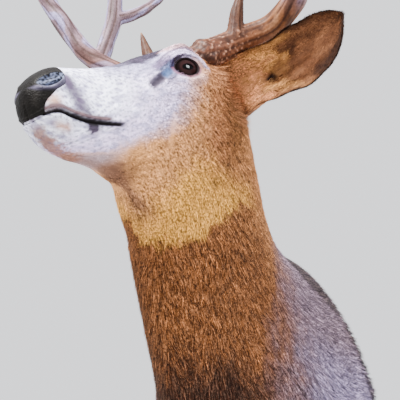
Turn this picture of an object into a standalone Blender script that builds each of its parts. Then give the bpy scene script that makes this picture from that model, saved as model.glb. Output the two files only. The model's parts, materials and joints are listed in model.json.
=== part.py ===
"""Shoulder mount of a mule deer buck on its plywood back board.

Metres, +Z up.  The wall is the plane y = 0 and the mount stands out of it along -Y.  The origin
is the middle of the back face of the board.  +X is the left side of the animal.

The hide is one loft: each section is a plane that runs from a point on the back line of the
animal to a point on its throat line, and is an egg-shaped superellipse across it.  The head part
of the loft is measured in a frame of the head (forward, left, up from the middle between the
eyes), turned to the animal's right and nose down.
"""
import math

import bmesh
import bpy
import numpy as np

for old in list(bpy.data.objects):
    bpy.data.objects.remove(old, do_unlink=True)

# ---------------------------------------------------------------- sizes
CM = 0.01
GAP = 0.0003
MERGE = 0.00004
BOARD_THICK = 0.018
BOARD_INSET = 0.005
EYES_AT = np.array([-6.0, -42.0, 30.0])
HEAD_FORWARD = np.array([-0.373, -0.895, -0.247])
HEAD_UP = np.array([-0.119, -0.217, 0.969])
EYEBALL_RADIUS = 1.65
EYEBALL_CENTRE = (0.05, 4.5, 0.5)
LID_OPENING = (1.62, 1.14)
EAR_LENGTH = 19.0
AROUND = 34

# Stations of the trunk and neck, in cm:
# back line x y z, throat line x y z, yaw, half width, widest at, fullness above, fullness below
BODY = [
    (0.0, -1.83, 23.7, 0.0, -1.83, -27.5, 0, 16.7, 0.42, 1.62, 2.00),
    (-1.6, -8.0, 24.0, -0.4, -10.0, -26.5, 0, 13.9, 0.42, 1.69, 1.90),
    (-2.2, -14.0, 25.5, -1.5, -20.5, -19.4, -2, 9.9, 0.45, 1.83, 1.90),
    (-2.3, -19.3, 28.4, -2.9, -28.4, -8.9, -6, 7.9, 0.51, 1.95, 1.92),
    (-2.4, -24.0, 31.9, -4.4, -34.4, 1.1, -10, 7.8, 0.54, 2.00, 2.00),
    (-2.8, -28.5, 35.3, -5.6, -37.2, 6.9, -15, 7.8, 0.58, 2.10, 2.02),
]
# Stations of the head, in cm in the frame of the head: back line x z, throat line x z,
# half width, widest at, fullness above, fullness below, sideways shift of the throat line
HEAD = [
    (-7.4, 5.8, 1.7, -20.4, 7.7, 0.60, 2.2, 2.1, -1.9),
    (-3.4, 5.6, 3.6, -17.6, 7.1, 0.66, 2.4, 2.1, -1.2),
    (0.0, 4.7, 5.2, -15.2, 6.3, 0.70, 2.6, 2.1, -0.5),
    (2.6, 3.4, 6.6, -13.8, 5.7, 0.68, 2.5, 2.15, 0.0),
    (5.0, 2.0, 8.1, -12.9, 5.2, 0.62, 2.4, 2.2, 0.0),
    (7.5, 0.9, 9.5, -12.1, 4.65, 0.55, 2.3, 2.3, 0.0),
    (10.0, 0.0, 11.3, -11.6, 4.2, 0.47, 2.2, 2.3, 0.0),
    (12.5, -0.8, 13.0, -11.3, 3.8, 0.42, 2.2, 2.3, 0.0),
    (15.0, -1.4, 15.1, -11.0, 3.5, 0.42, 2.2, 2.3, 0.0),
    (17.0, -1.9, 17.0, -10.6, 3.3, 0.46, 2.3, 2.3, 0.0),
    (18.3, -2.5, 18.2, -9.9, 3.1, 0.52, 2.4, 2.3, 0.0),
    (19.1, -3.1, 19.0, -9.1, 2.75, 0.55, 2.4, 2.2, 0.0),
    (19.75, -3.8, 19.65, -8.5, 2.2, 0.55, 2.4, 2.2, 0.0),
    (20.2, -4.6, 20.15, -7.7, 1.5, 0.52, 2.3, 2.2, 0.0),
    (20.5, -5.4, 20.45, -6.7, 0.7, 0.50, 2.0, 2.0, 0.0),
]
# Soft swellings and hollows of the head: centre, reach, push (forward, outward, up), in cm
SWELLINGS = [
    ((0.9, 5.3, 2.9), (2.6, 1.7, 1.5), (0.0, 0.45, 0.75)),
    ((-2.6, 6.2, -0.6), (2.4, 2.5, 1.6), (0.0, 0.30, 0.0)),
    ((-4.4, 5.4, 2.6), (1.8, 2.2, 1.6), (0.0, -0.35, -0.10)),
    ((6.6, 4.6, -1.3), (2.6, 2.0, 1.9), (0.0, -0.40, -0.10)),
    ((0.5, 6.0, -8.0), (4.0, 3.0, 3.2), (0.0, 0.35, 0.0)),
    ((12.5, 3.9, -4.2), (3.0, 1.6, 1.5), (0.0, -0.22, 0.0)),
    ((18.6, 2.9, -4.4), (1.2, 1.3, 1.2), (0.0, 0.28, 0.12)),
    ((16.0, 3.4, -8.0), (2.6, 1.5, 1.0), (0.0, 0.15, 0.0)),
]
# Mouth line of one side, from its corner to the middle of the lip, in cm of the head
MOUTH = [(9.8, -7.6), (13.0, -8.35), (16.0, -8.35), (17.9, -8.0), (19.3, -8.45)]
# One antler, left side, in cm of the head
BEAM = [(-3.3, 2.6, 3.0), (-5.4, 4.0, 4.3), (-8.6, 6.5, 6.1), (-11.6, 10.6, 7.9), (-11.1, 14.8, 9.8),
        (-7.9, 18.1, 12.7), (-5.5, 20.5, 17.6), (-3.7, 22.6, 23.0), (-2.3, 24.4, 29.5),
        (-0.6, 25.4, 36.3), (2.0, 25.0, 42.8), (5.8, 23.2, 48.0)]
BEAM_RADII = [1.65, 1.8, 1.75, 1.55, 1.5, 1.45, 1.3, 1.25, 1.15, 0.95, 0.7, 0.2]
BROW_TINE = [(-8.2, 6.9, 6.2), (-8.2, 7.6, 9.0), (-8.4, 8.3, 11.4), (-8.6, 9.0, 13.7)]
BROW_RADII = [1.2, 0.9, 0.6, 0.15]
FRONT_TINE = [(-2.5, 24.2, 28.8), (-4.2, 25.8, 33.0), (-6.0, 26.8, 38.0), (-6.8, 26.8, 43.5)]
FRONT_RADII = [1.05, 0.95, 0.75, 0.18]
REAR_STEM = [(-8.8, 17.6, 12.0), (-10.1, 17.4, 15.3), (-11.7, 17.0, 19.4), (-12.6, 17.0, 25.0),
             (-12.6, 17.4, 31.5), (-11.2, 17.6, 38.0)]
REAR_RADII = [1.25, 1.2, 1.25, 1.05, 0.8, 0.2]
REAR_TINE = [(-11.7, 17.0, 19.6), (-15.8, 14.2, 21.6), (-19.0, 12.8, 25.0), (-20.4, 12.6, 30.0)]
REAR_TINE_RADII = [1.0, 0.82, 0.62, 0.16]

FORWARD = HEAD_FORWARD / np.linalg.norm(HEAD_FORWARD)
UP = HEAD_UP - FORWARD * float(HEAD_UP @ FORWARD)
UP = UP / np.linalg.norm(UP)
LEFT = np.cross(UP, FORWARD)
AXES = np.array([FORWARD, LEFT, UP])

# ---------------------------------------------------------------- helpers
collection = bpy.data.collections.new("mule_deer_shoulder_mount")
bpy.context.scene.collection.children.link(collection)
cutter_collection = bpy.data.collections.new("cutters")
bpy.context.scene.collection.children.link(cutter_collection)


def material(name, colour, roughness):
    """A plain Principled material for one kind of surface."""
    made = bpy.data.materials.new(name)
    made.use_nodes = True
    shader = made.node_tree.nodes["Principled BSDF"]
    shader.inputs["Base Color"].default_value = (*colour, 1.0)
    shader.inputs["Roughness"].default_value = roughness
    made.diffuse_color = (*colour, 1.0)
    return made


COAT_BROWN = material("coat_brown", (0.20, 0.125, 0.075), 0.9)
COAT_GREY = material("coat_grey", (0.27, 0.25, 0.25), 0.9)
COAT_PALE = material("coat_pale", (0.55, 0.51, 0.46), 0.85)
COAT_EAR = material("coat_ear", (0.30, 0.21, 0.14), 0.9)
NOSE_LEATHER = material("nose_leather", (0.03, 0.025, 0.025), 0.45)
EYE_GLASS = material("eye_glass", (0.018, 0.010, 0.006), 0.08)
ANTLER_BONE = material("antler_bone", (0.30, 0.22, 0.15), 0.6)
BOARD_WOOD = material("board_wood", (0.50, 0.30, 0.14), 0.7)


def head_to_world(points):
    """Points measured in the head (forward, left, up, cm) to metres in the room."""
    return (np.asarray(points, float) @ AXES + EYES_AT) * CM


def smooth_table(knots, rows, at):
    """Cubic through the rows with slopes taken from the neighbours."""
    rows = np.asarray(rows, float)
    slopes = np.gradient(rows, knots, axis=0)
    i = np.clip(np.searchsorted(knots, at, side="right") - 1, 0, len(knots) - 2)
    h = (knots[i + 1] - knots[i])[:, None]
    t = ((at - knots[i])[:, None]) / h
    a = (2 * t**3 - 3 * t**2 + 1) * rows[i]
    b = (t**3 - 2 * t**2 + t) * h * slopes[i]
    c = (-2 * t**3 + 3 * t**2) * rows[i + 1]
    d = (t**3 - t**2) * h * slopes[i + 1]
    return a + b + c + d


def station_rows():
    """Every station as back point, throat point, sideways direction and section shape, in cm."""
    rows = []
    for bx, by, bz, tx, ty, tz, yaw, half, widest, above, below in BODY:
        turn = math.radians(yaw)
        side = (math.cos(turn), math.sin(turn), 0.0)
        rows.append([bx, by, bz, tx, ty, tz, *side, half, widest, above, below])
    for bx, bz, tx, tz, half, widest, above, below, shift in HEAD:
        back = np.array([bx, 0.0, bz]) @ AXES + EYES_AT
        throat = np.array([tx, shift, tz]) @ AXES + EYES_AT
        rows.append([*back, *throat, *LEFT, half, widest, above, below])
    rows = np.array(rows)
    middle = (rows[:, :3] + rows[:, 3:6]) / 2
    steps = np.linalg.norm(np.diff(middle, axis=0), axis=1)
    return np.concatenate([[0.0], np.cumsum(steps)]), rows


LENGTHS, ROWS = station_rows()


def hide(at, around, grow=0.0):
    """Grid of points of the hide: one ring for each length, grown outward by some cm."""
    q = smooth_table(LENGTHS, ROWS, np.asarray(at, float))
    back = q[:, 0:3]
    throat = q[:, 3:6]
    side = q[:, 6:9] / np.linalg.norm(q[:, 6:9], axis=1, keepdims=True)
    half = q[:, 9:10] + grow
    widest = q[:, 10:11]
    above = q[:, 11:12]
    below = q[:, 12:13]
    tall = np.linalg.norm(back - throat, axis=1, keepdims=True)
    upward = (back - throat) / tall
    centre = throat + (back - throat) * widest
    angle = np.linspace(0.0, 2.0 * math.pi, around, endpoint=False)
    c = np.cos(angle)[None, :]
    s = np.sin(angle)[None, :]
    power = 2.0 / np.where(c > 0, above, below)
    across = half * np.sign(s) * np.abs(s) ** power
    reach = np.where(c > 0, tall * (1.0 - widest) + grow, -(tall * widest + grow))
    height = reach * np.abs(c) ** power
    points = centre[:, None] + across[..., None] * side[:, None] + height[..., None] * upward[:, None]
    return swell(points)


def swell(points):
    """Push points of the head out or in around brow, cheek, temple, muzzle and lips."""
    local = (points - EYES_AT) @ AXES.T
    moved = local.copy()
    for centre, reach, push in SWELLINGS:
        for sign in (1.0, -1.0):
            away = (local - np.array([centre[0], sign * centre[1], centre[2]])) / np.array(reach)
            weight = np.exp(-np.sum(away**2, axis=-1))
            moved += weight[..., None] * np.array([push[0], sign * push[1], push[2]])
    return moved @ AXES + EYES_AT


def as_object(name, points, faces, mat, where=None):
    """Mesh object from metres, closed and facing outward."""
    mesh = bpy.data.meshes.new(name)
    mesh.from_pydata([tuple(p) for p in points], [], faces)
    work = bmesh.new()
    work.from_mesh(mesh)
    bmesh.ops.recalc_face_normals(work, faces=work.faces[:])
    bmesh.ops.triangulate(work, faces=work.faces[:])
    work.to_mesh(mesh)
    work.free()
    if mat is not None:
        mesh.materials.append(mat)
    made = bpy.data.objects.new(name, mesh)
    (where or collection).objects.link(made)
    if where is cutter_collection:
        made.hide_render = True
        made.display_type = "WIRE"
    return made


def tube_faces(rings, around, close_start=True, close_end=True):
    """Quads between rings, with a flat polygon on each closed end."""
    faces = []
    for i in range(rings - 1):
        for j in range(around):
            k = (j + 1) % around
            faces.append((i * around + j, i * around + k, (i + 1) * around + k, (i + 1) * around + j))
    if close_start:
        faces.append(tuple(range(around)))
    if close_end:
        last = (rings - 1) * around
        faces.append(tuple(last + j for j in range(around)))
    return faces


def loft_piece(name, at, mat, grow=0.0, where=None):
    """Closed piece of the hide through the rings at some lengths."""
    grid = hide(at, AROUND, grow) * CM
    return as_object(name, grid.reshape(-1, 3), tube_faces(len(at), AROUND), mat, where)


def cut(piece, cutter, operation="DIFFERENCE", merge=False):
    """Exact Boolean, applied; merge joins points that it leaves almost on top of each other."""
    step = piece.modifiers.new("cut", "BOOLEAN")
    step.operation = operation
    step.solver = "EXACT"
    step.object = cutter
    graph = bpy.context.evaluated_depsgraph_get()
    graph.update()
    result = bpy.data.meshes.new_from_object(piece.evaluated_get(graph))
    piece.modifiers.clear()
    if merge:
        work = bmesh.new()
        work.from_mesh(result)
        bmesh.ops.remove_doubles(work, verts=work.verts[:], dist=MERGE)
        bmesh.ops.dissolve_degenerate(work, edges=work.edges[:], dist=MERGE)
        work.to_mesh(result)
        work.free()
    piece.data = result
    return piece


def drop(piece):
    """Take a used-up helper away."""
    bpy.data.objects.remove(piece, do_unlink=True)


def curve(points, count):
    """Smooth run through points, evenly spread by length; also the share of knots passed."""
    points = np.asarray(points, float)
    steps = np.linalg.norm(np.diff(points, axis=0), axis=1)
    knots = np.concatenate([[0.0], np.cumsum(steps)])
    at = np.linspace(0.0, knots[-1], count)
    share = np.interp(at, knots, np.arange(len(knots)))
    return smooth_table(knots, points, at), share


def tube(name, points, radii, rings, around, mat, burr=None, start=0.0, end=1.0, where=None):
    """Round rod along a smooth run, in cm of the head; burr is (share, radius, reach)."""
    path, share = curve(points, 400)
    radius = np.interp(share, np.arange(len(radii)), radii)
    if burr is not None:
        radius = radius + burr[1] * np.exp(-((share - burr[0]) / burr[2]) ** 2)
    pick = np.linspace(start, end, rings) * 399
    if burr is not None:
        pick = np.sort(np.concatenate([pick, np.array([8.0, 14.0, 20.0, 28.0])]))
    along = np.gradient(path, axis=0)
    path = np.stack([np.interp(pick, np.arange(400), path[:, k]) for k in range(3)], axis=1)
    along = np.stack([np.interp(pick, np.arange(400), along[:, k]) for k in range(3)], axis=1)
    along = along / np.linalg.norm(along, axis=1, keepdims=True)
    radius = np.interp(pick, np.arange(400), radius)
    first = np.cross(along[0], (1.0, 0.2, 0.1))
    first = first / np.linalg.norm(first)
    grid = []
    for p, r, t in zip(path, radius, along):
        first = first - t * float(first @ t)
        first = first / np.linalg.norm(first)
        second = np.cross(t, first)
        turn = np.linspace(0.0, 2.0 * math.pi, around, endpoint=False)[:, None]
        grid.append(p + r * (np.cos(turn) * first + np.sin(turn) * second))
    grid = head_to_world(np.array(grid).reshape(-1, 3))
    return as_object(name, grid, tube_faces(len(path), around), mat, where)


def mirror_points(points):
    """The same run on the right side of the head."""
    return [(x, -y, z) for x, y, z in points]


def ellipsoid(name, centre, radii, turn, mat, around=20, rings=12, where=None):
    """Closed ball or ellipsoid in cm of the head; turn is the axes as rows."""
    points = []
    for i in range(1, rings):
        lift = math.pi * i / rings
        for j in range(around):
            spin = 2.0 * math.pi * j / around
            points.append((math.cos(lift), math.sin(lift) * math.cos(spin), math.sin(lift) * math.sin(spin)))
    points = [(1.0, 0.0, 0.0), *points, (-1.0, 0.0, 0.0)]
    faces = []
    for j in range(around):
        k = (j + 1) % around
        faces.append((0, 1 + k, 1 + j))
        for i in range(rings - 2):
            a = 1 + i * around
            faces.append((a + j, a + k, a + around + k, a + around + j))
        a = 1 + (rings - 2) * around
        faces.append((a + j, a + k, len(points) - 1))
    grid = (np.array(points) * np.array(radii)) @ np.array(turn) + np.array(centre)
    return as_object(name, head_to_world(grid), faces, mat, where)


# ---------------------------------------------------------------- hide: trunk, neck, head
CUT_NECK = LENGTHS[2]
CUT_HEAD = LENGTHS[5] + 0.6
HALF_CUT = GAP / CM / 2.0 + 0.01
TRUNK_AT = np.linspace(0.0, CUT_NECK - HALF_CUT, 9)
NECK_AT = np.linspace(CUT_NECK + HALF_CUT, CUT_HEAD - HALF_CUT, 9)
HEAD_AT = np.linspace(CUT_HEAD + HALF_CUT, LENGTHS[-1], 30)
ROOM = GAP / CM + 0.01
trunk = loft_piece("trunk", TRUNK_AT, COAT_GREY)
neck = loft_piece("neck", NECK_AT, COAT_BROWN)
head = loft_piece("head", HEAD_AT, COAT_PALE)
head_room = loft_piece("head_cutter", HEAD_AT, None, ROOM, cutter_collection)
neck_room = loft_piece("neck_cutter", np.append(NECK_AT, CUT_HEAD + 0.9), None, ROOM, cutter_collection)

# ---------------------------------------------------------------- eyes in their sockets
for side, sign in (("left", 1.0), ("right", -1.0)):
    outward = np.array([0.33, sign * 0.94, 0.08])
    outward = outward / np.linalg.norm(outward)
    upward = np.array([0.10, 0.0, 1.0])
    upward = upward - outward * float(upward @ outward)
    upward = upward / np.linalg.norm(upward)
    frame = np.array([outward, np.cross(upward, outward), upward])
    centre = np.array([EYEBALL_CENTRE[0], sign * EYEBALL_CENTRE[1], EYEBALL_CENTRE[2]])
    ball = (EYEBALL_RADIUS, EYEBALL_RADIUS, EYEBALL_RADIUS)
    ellipsoid("eye_" + side, centre, ball, frame, EYE_GLASS, 18, 9)
    room = tuple(r + GAP / CM + 0.03 for r in ball)
    socket = ellipsoid("socket_cutter", centre, room, frame, None, 18, 9, cutter_collection)
    cut(head, socket, merge=True)
    drop(socket)
    opening = (3.2, *LID_OPENING)
    lids = ellipsoid("lid_cutter", centre + outward * 1.6, opening, frame, None, 20, 10, cutter_collection)
    cut(head, lids, merge=True)
    drop(lids)
    nostril_frame = np.array([(0.80, sign * 0.55, -0.10), (-0.50, sign * 0.60, 0.60), (0.2, sign * -0.2, 0.9)])
    q = np.linalg.qr(nostril_frame.T)[0].T
    nostril = ellipsoid("nostril_cutter", (18.7, sign * 3.0, -5.0), (1.25, 1.0, 0.55), q, None, 14, 8,
                        cutter_collection)
    cut(head, nostril, merge=True)
    drop(nostril)

# ---------------------------------------------------------------- mouth line


def lip_surface(x, z):
    """Half width of the muzzle at one place, found on the hide itself."""
    grid = (hide(np.linspace(LENGTHS[8], LENGTHS[-1], 90), 240) - EYES_AT) @ AXES.T
    near = np.abs(grid[..., 0] - x) + np.abs(grid[..., 2] - z) + 100.0 * (grid[..., 1] < -0.05)
    return float(grid[np.unravel_index(np.argmin(near), near.shape)][1])


line = smooth_table(np.array([p[0] for p in MOUTH]), np.array(MOUTH), np.linspace(MOUTH[0][0], MOUTH[-1][0], 9))
left_lip = np.array([(x, max(lip_surface(x, z), 0.25), z) for x, z in line])
mouth_path = np.concatenate([left_lip, [(19.65, 0.0, -8.5)], left_lip[::-1] * np.array([1.0, -1.0, 1.0])])
outward = np.gradient(mouth_path, axis=0)[:, [1, 0, 2]] * np.array([-1.0, 1.0, 0.0])
outward = outward / np.linalg.norm(outward, axis=1, keepdims=True)
if outward[0, 1] < 0:
    outward = -outward
blade = []
for p, o in zip(mouth_path, outward):
    for depth, lift in ((0.5, 0.1), (0.5, -0.1), (-0.45, -0.04), (-0.45, 0.04)):
        blade.append(p + o * depth + np.array([0.0, 0.0, lift]))
slit = as_object("mouth_cutter", head_to_world(blade), tube_faces(len(mouth_path), 4), None, cutter_collection)
cut(head, slit, merge=True)
drop(slit)

# ---------------------------------------------------------------- nose pad, parted from the head
PAD_TOP = np.array([17.3, 0.0, -1.6])
PAD_BOTTOM = np.array([19.75, 0.0, -8.1])
pad_down = (PAD_BOTTOM - PAD_TOP) / np.linalg.norm(PAD_BOTTOM - PAD_TOP)
pad_out = np.array([-pad_down[2], 0.0, pad_down[0]])


def pad_box(name, back):
    """Slab in front of the slanted edge of the nose pad, begun at a set distance from it."""
    corners = []
    for along in (-2.0, 6.9):
        for wide in (-5.0, 5.0):
            for out in (back, 6.0):
                corners.append(PAD_TOP + pad_down * along + np.array([0.0, wide, 0.0]) + pad_out * out)
    order = [(0, 1, 3, 2), (4, 6, 7, 5), (0, 4, 5, 1), (2, 3, 7, 6), (0, 2, 6, 4), (1, 5, 7, 3)]
    return as_object(name, head_to_world(corners), order, None, cutter_collection)


front = pad_box("pad_keep_cutter", GAP / CM)
nose = as_object("nose", [v.co[:] for v in head.data.vertices], [tuple(f.vertices) for f in head.data.polygons],
                 NOSE_LEATHER)
cut(nose, front, "INTERSECT")
drop(front)
front = pad_box("pad_take_cutter", 0.0)
cut(head, front)
drop(front)

# ---------------------------------------------------------------- ears
EAR_ALONG = np.array([0.10, 0.96, 0.11])
EAR_OPEN = np.array([0.95, -0.10, -0.30])
EAR_BASE = np.array([-9.8, 4.2, 0.5])
EAR_SHARE = [0.0, 0.16, 0.32, 0.48, 0.66, 0.82, 0.94, 1.0]
EAR_UPPER = [2.2, 2.4, 2.7, 2.8, 2.6, 2.0, 1.1, 0.2]
EAR_LOWER = [3.4, 3.3, 3.7, 4.3, 4.5, 3.7, 2.0, 0.3]
EAR_CUP = [1.0, 1.9, 2.2, 1.9, 1.3, 0.8, 0.35, 0.1]
EAR_BACK = [3.0, 2.3, 1.1, 0.75, 0.65, 0.6, 0.5, 0.3]


def ear_points(share, across, back, sign):
    """One face of the cupped ear: across runs from the lower edge to the upper edge."""
    along = EAR_ALONG / np.linalg.norm(EAR_ALONG)
    opening = EAR_OPEN - along * float(EAR_OPEN @ along)
    opening = opening / np.linalg.norm(opening)
    upper = np.cross(opening, along)
    knots = np.array(EAR_SHARE)
    up = smooth_table(knots, np.array(EAR_UPPER)[:, None], share)
    low = smooth_table(knots, np.array(EAR_LOWER)[:, None], share)
    cup = smooth_table(knots, np.array(EAR_CUP)[:, None], share)
    thick = smooth_table(knots, np.array(EAR_BACK)[:, None], share)
    a = across[None, :]
    wide = np.where(a > 0, up, low) * np.sin(a * math.pi / 2)
    deep = cup * np.cos(a * math.pi / 2) + back * thick * np.cos(a * math.pi / 2) ** 0.5
    bend = 1.3 * (share * share)[:, None] * 1.2
    points = EAR_BASE + along * (share * EAR_LENGTH)[:, None, None] + upper * (wide + bend * 0.4)[..., None]
    points = points - opening * (deep - bend * 0.5)[..., None]
    points = points * np.array([1.0, sign, 1.0])
    return points


def ear(name, sign):
    """Cupped shell, closed along its edges."""
    rows = 14
    columns = 11
    share = np.linspace(0.0, 1.0, rows) ** 0.9
    across = np.linspace(-1.0, 1.0, columns)
    outer = ear_points(share, across, 1.0, sign)
    inner = ear_points(share, across[1:-1], 0.0, sign)[:, ::-1]
    ring = np.concatenate([outer, inner], axis=1)
    count = ring.shape[1]
    return as_object(name, head_to_world(ring.reshape(-1, 3)), tube_faces(rows, count), COAT_EAR)


for side, sign in (("left", 1.0), ("right", -1.0)):
    shell = ear("ear_" + side, sign)
    cut(shell, head_room)
    cut(shell, neck_room)

# ---------------------------------------------------------------- antlers
BURR = (1.0, 0.5, 0.2)
FORK = 0.485
for side, sign in (("left", 1.0), ("right", -1.0)):
    flip = (lambda run: run) if sign > 0 else mirror_points
    beam = tube("antler_beam_" + side, flip(BEAM), BEAM_RADII, 13, 12, ANTLER_BONE, BURR, 0.0, FORK)
    tine = tube("tine_helper", flip(BROW_TINE), BROW_RADII, 6, 8, ANTLER_BONE)
    cut(beam, tine, "UNION")
    drop(tine)
    cut(beam, head_room)
    fork = tube("antler_front_fork_" + side, flip(BEAM), BEAM_RADII, 12, 10, ANTLER_BONE, None,
                FORK + 0.0006, 1.0)
    tine = tube("tine_helper", flip(FRONT_TINE), FRONT_RADII, 7, 8, ANTLER_BONE)
    cut(fork, tine, "UNION")
    drop(tine)
    rear = tube("antler_rear_fork_" + side, flip(REAR_STEM), REAR_RADII, 11, 10, ANTLER_BONE)
    tine = tube("tine_helper", flip(REAR_TINE), REAR_TINE_RADII, 8, 8, ANTLER_BONE)
    cut(rear, tine, "UNION")
    drop(tine)
    room = tube("beam_cutter", flip(BEAM), [r + GAP / CM + 0.01 for r in BEAM_RADII], 13, 12, None, BURR,
                0.0, FORK, cutter_collection)
    cut(rear, room)
    drop(room)
drop(head_room)
drop(neck_room)

# ---------------------------------------------------------------- back board
edge = hide([0.0], 48)[0]
centre = edge.mean(axis=0)
reach = np.linalg.norm(edge - centre, axis=1, keepdims=True)
inset = centre + (edge - centre) * (1.0 - BOARD_INSET / CM / reach)
inset = inset * CM
front_face = inset.copy()
front_face[:, 1] = -BOARD_THICK
back_face = inset.copy()
back_face[:, 1] = 0.0
as_object("back_board", np.concatenate([back_face, front_face]), tube_faces(2, 48), BOARD_WOOD)
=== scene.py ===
"""Shoulder mount of a mule deer buck, dressed around its solids.

Metres in the room: the wall is the plane y = 0, the mount stands out of it along -Y, +Z is up and
+X is the left side of the animal.  The forms of the hide are worked out in centimetres and scaled
once, when a mesh is made.
"""
import json
import math

import bpy
import numpy as np
from mathutils import Matrix, Vector

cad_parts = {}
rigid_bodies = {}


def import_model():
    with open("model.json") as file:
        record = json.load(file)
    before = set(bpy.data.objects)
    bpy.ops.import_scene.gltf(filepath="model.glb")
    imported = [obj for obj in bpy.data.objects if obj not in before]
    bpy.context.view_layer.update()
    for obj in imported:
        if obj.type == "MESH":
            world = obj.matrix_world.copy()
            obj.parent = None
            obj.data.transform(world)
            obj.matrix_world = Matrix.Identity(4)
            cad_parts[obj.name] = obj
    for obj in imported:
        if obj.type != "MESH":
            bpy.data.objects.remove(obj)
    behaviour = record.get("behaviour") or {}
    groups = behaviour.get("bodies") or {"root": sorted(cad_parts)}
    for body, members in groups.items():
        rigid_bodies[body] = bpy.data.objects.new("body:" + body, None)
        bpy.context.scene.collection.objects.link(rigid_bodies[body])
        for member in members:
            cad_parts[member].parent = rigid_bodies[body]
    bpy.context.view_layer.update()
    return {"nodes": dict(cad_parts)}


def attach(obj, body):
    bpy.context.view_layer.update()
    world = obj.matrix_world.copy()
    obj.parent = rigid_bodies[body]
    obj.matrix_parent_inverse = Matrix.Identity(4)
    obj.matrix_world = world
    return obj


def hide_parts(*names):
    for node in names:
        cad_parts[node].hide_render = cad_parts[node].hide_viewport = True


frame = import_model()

# ---------------------------------------------------------------- camera
# A moderately long lens, below the head and off its left front, looking up along the neck.
LENS = 76.5
SENSOR = 36.0
CAMERA_PLACE = (0.297, -1.237, -0.246)
room = bpy.context.scene.collection.objects
camera_data = bpy.data.cameras.new("camera")
camera_data.lens = LENS
camera_data.sensor_width = SENSOR
camera_data.dof.use_dof = False
camera = bpy.data.objects.new("camera", camera_data)
room.link(camera)
sight = Vector((-0.3017, 0.8600, 0.4130)).normalized()
rightward = Vector((0.952, 0.297, 0.077))
rightward = (rightward - sight * rightward.dot(sight)).normalized()
camera_turn = Matrix((rightward, rightward.cross(sight), -sight)).transposed().to_4x4()
camera.matrix_world = Matrix.Translation(CAMERA_PLACE) @ camera_turn
bpy.context.scene.camera = camera

# ---------------------------------------------------------------- studio
# A wide matt floor of pale plaster well below the mount, a pale even surround, and two soft boxes:
# a wide one high on the left of the camera, and a smaller one above on the right, which glints in
# the glass eye.
FLOOR_LEVEL = -1.65
FLOOR_HALF = 7.0
SURROUND_COLOUR = (0.95, 0.96, 1.0, 1.0)
SURROUND_STRENGTH = 1.55


def feed(node, inputs):
    """Give each input of a node, by its socket, a number or a colour, or a link from an output."""
    for socket, value in inputs.items():
        if isinstance(value, bpy.types.NodeSocket):
            node.id_data.links.new(value, node.inputs[socket])
        else:
            node.inputs[socket].default_value = value


def add_node(tree, kind, inputs=None, **settings):
    """One shader node with its inputs fed: settings are its options."""
    made = tree.nodes.new("ShaderNode" + kind)
    for key, value in settings.items():
        setattr(made, key, value)
    feed(made, inputs or {})
    return made


def noise(tree, vector, scale, detail, **more):
    """Value of a noise texture."""
    inputs = {"Vector": vector, "Scale": scale, "Detail": detail, **more}
    return add_node(tree, "TexNoise", inputs).outputs["Fac"]


def mixed(tree, factor, first, second):
    """One colour turning to another as the factor goes from 0 to 1."""
    inputs = {"Factor": factor, "A": first, "B": second}
    return add_node(tree, "Mix", inputs, data_type="RGBA").outputs["Result"]


def new_material(name):
    """A material with only a Principled shader, its node tree and the shader."""
    made = bpy.data.materials.new(name)
    made.use_nodes = True
    return made, made.node_tree, made.node_tree.nodes["Principled BSDF"]


def places_of(tree):
    """Output of the place of each point of the piece, in metres of the room."""
    return add_node(tree, "TexCoord").outputs["Object"]


plaster, tree, shader = new_material("floor_plaster")
cloud = noise(tree, places_of(tree), 1.3, 6.0)
tone = mixed(tree, cloud, (0.74, 0.73, 0.71, 1.0), (0.82, 0.81, 0.79, 1.0))
feed(shader, {"Base Color": tone, "Roughness": 0.9})
floor_mesh = bpy.data.meshes.new("floor")
corners = ((-1, -1), (1, -1), (1, 1), (-1, 1))
floor_corners = [(x * FLOOR_HALF, y * FLOOR_HALF, FLOOR_LEVEL) for x, y in corners]
floor_mesh.from_pydata(floor_corners, [], [(0, 1, 2, 3)])
floor_mesh.materials.append(plaster)
floor = bpy.data.objects.new("floor", floor_mesh)
room.link(floor)

surround = bpy.data.worlds.new("surround")
surround.use_nodes = True
feed(surround.node_tree.nodes["Background"], {"Color": SURROUND_COLOUR, "Strength": SURROUND_STRENGTH})
bpy.context.scene.world = surround


def soft_box(name, spot, aim, width, power, colour):
    """A square area lamp at a spot, turned to an aim."""
    data = bpy.data.lights.new(name, "AREA")
    data.shape = "SQUARE"
    data.size = width
    data.energy = power
    data.color = colour
    lamp = bpy.data.objects.new(name, data)
    lamp.location = spot
    lamp.rotation_euler = (Vector(aim) - Vector(spot)).to_track_quat("-Z", "Y").to_euler()
    room.link(lamp)


soft_box("main_light", (-0.8, -2.3, 1.9), (-0.05, -0.45, 0.25), 1.3, 400.0, (1.0, 0.98, 0.96))
soft_box("side_light", (1.68, -1.03, 1.52), (-0.06, -0.38, 0.20), 0.50, 105.0, (0.93, 0.95, 1.0))

# ---------------------------------------------------------------- back board
# A board of 18 mm plywood behind the hide, sawn 5 mm inside its edge. The hide is stapled round it
# and the board hangs on the wall. Its solid keeps its shape and gets veneer and ply edges.
PLY_SHEETS = 7
BOARD_THICK = 0.018
FACE_SHEET = 0.0015
VENEER_PALE = (0.62, 0.38, 0.19, 1.0)
VENEER_DARK = (0.38, 0.19, 0.075, 1.0)
SHEET_DARK = (0.20, 0.095, 0.04, 1.0)


def maths(tree, operation, first, second=0.0):
    """Result of one sum on two numbers."""
    return add_node(tree, "Math", {0: first, 1: second}, operation=operation).outputs[0]


def stretched(tree, vector, scale):
    """Places scaled by a number for each axis."""
    return add_node(tree, "Mapping", {"Vector": vector, "Scale": scale}).outputs["Vector"]


def ranged(tree, value, low, high, to_low, to_high):
    """A value brought from one range, at whose ends it is held, to another."""
    inputs = {"Value": value, "From Min": low, "From Max": high, "To Min": to_low, "To Max": to_high}
    return add_node(tree, "MapRange", inputs).outputs["Result"]


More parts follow.
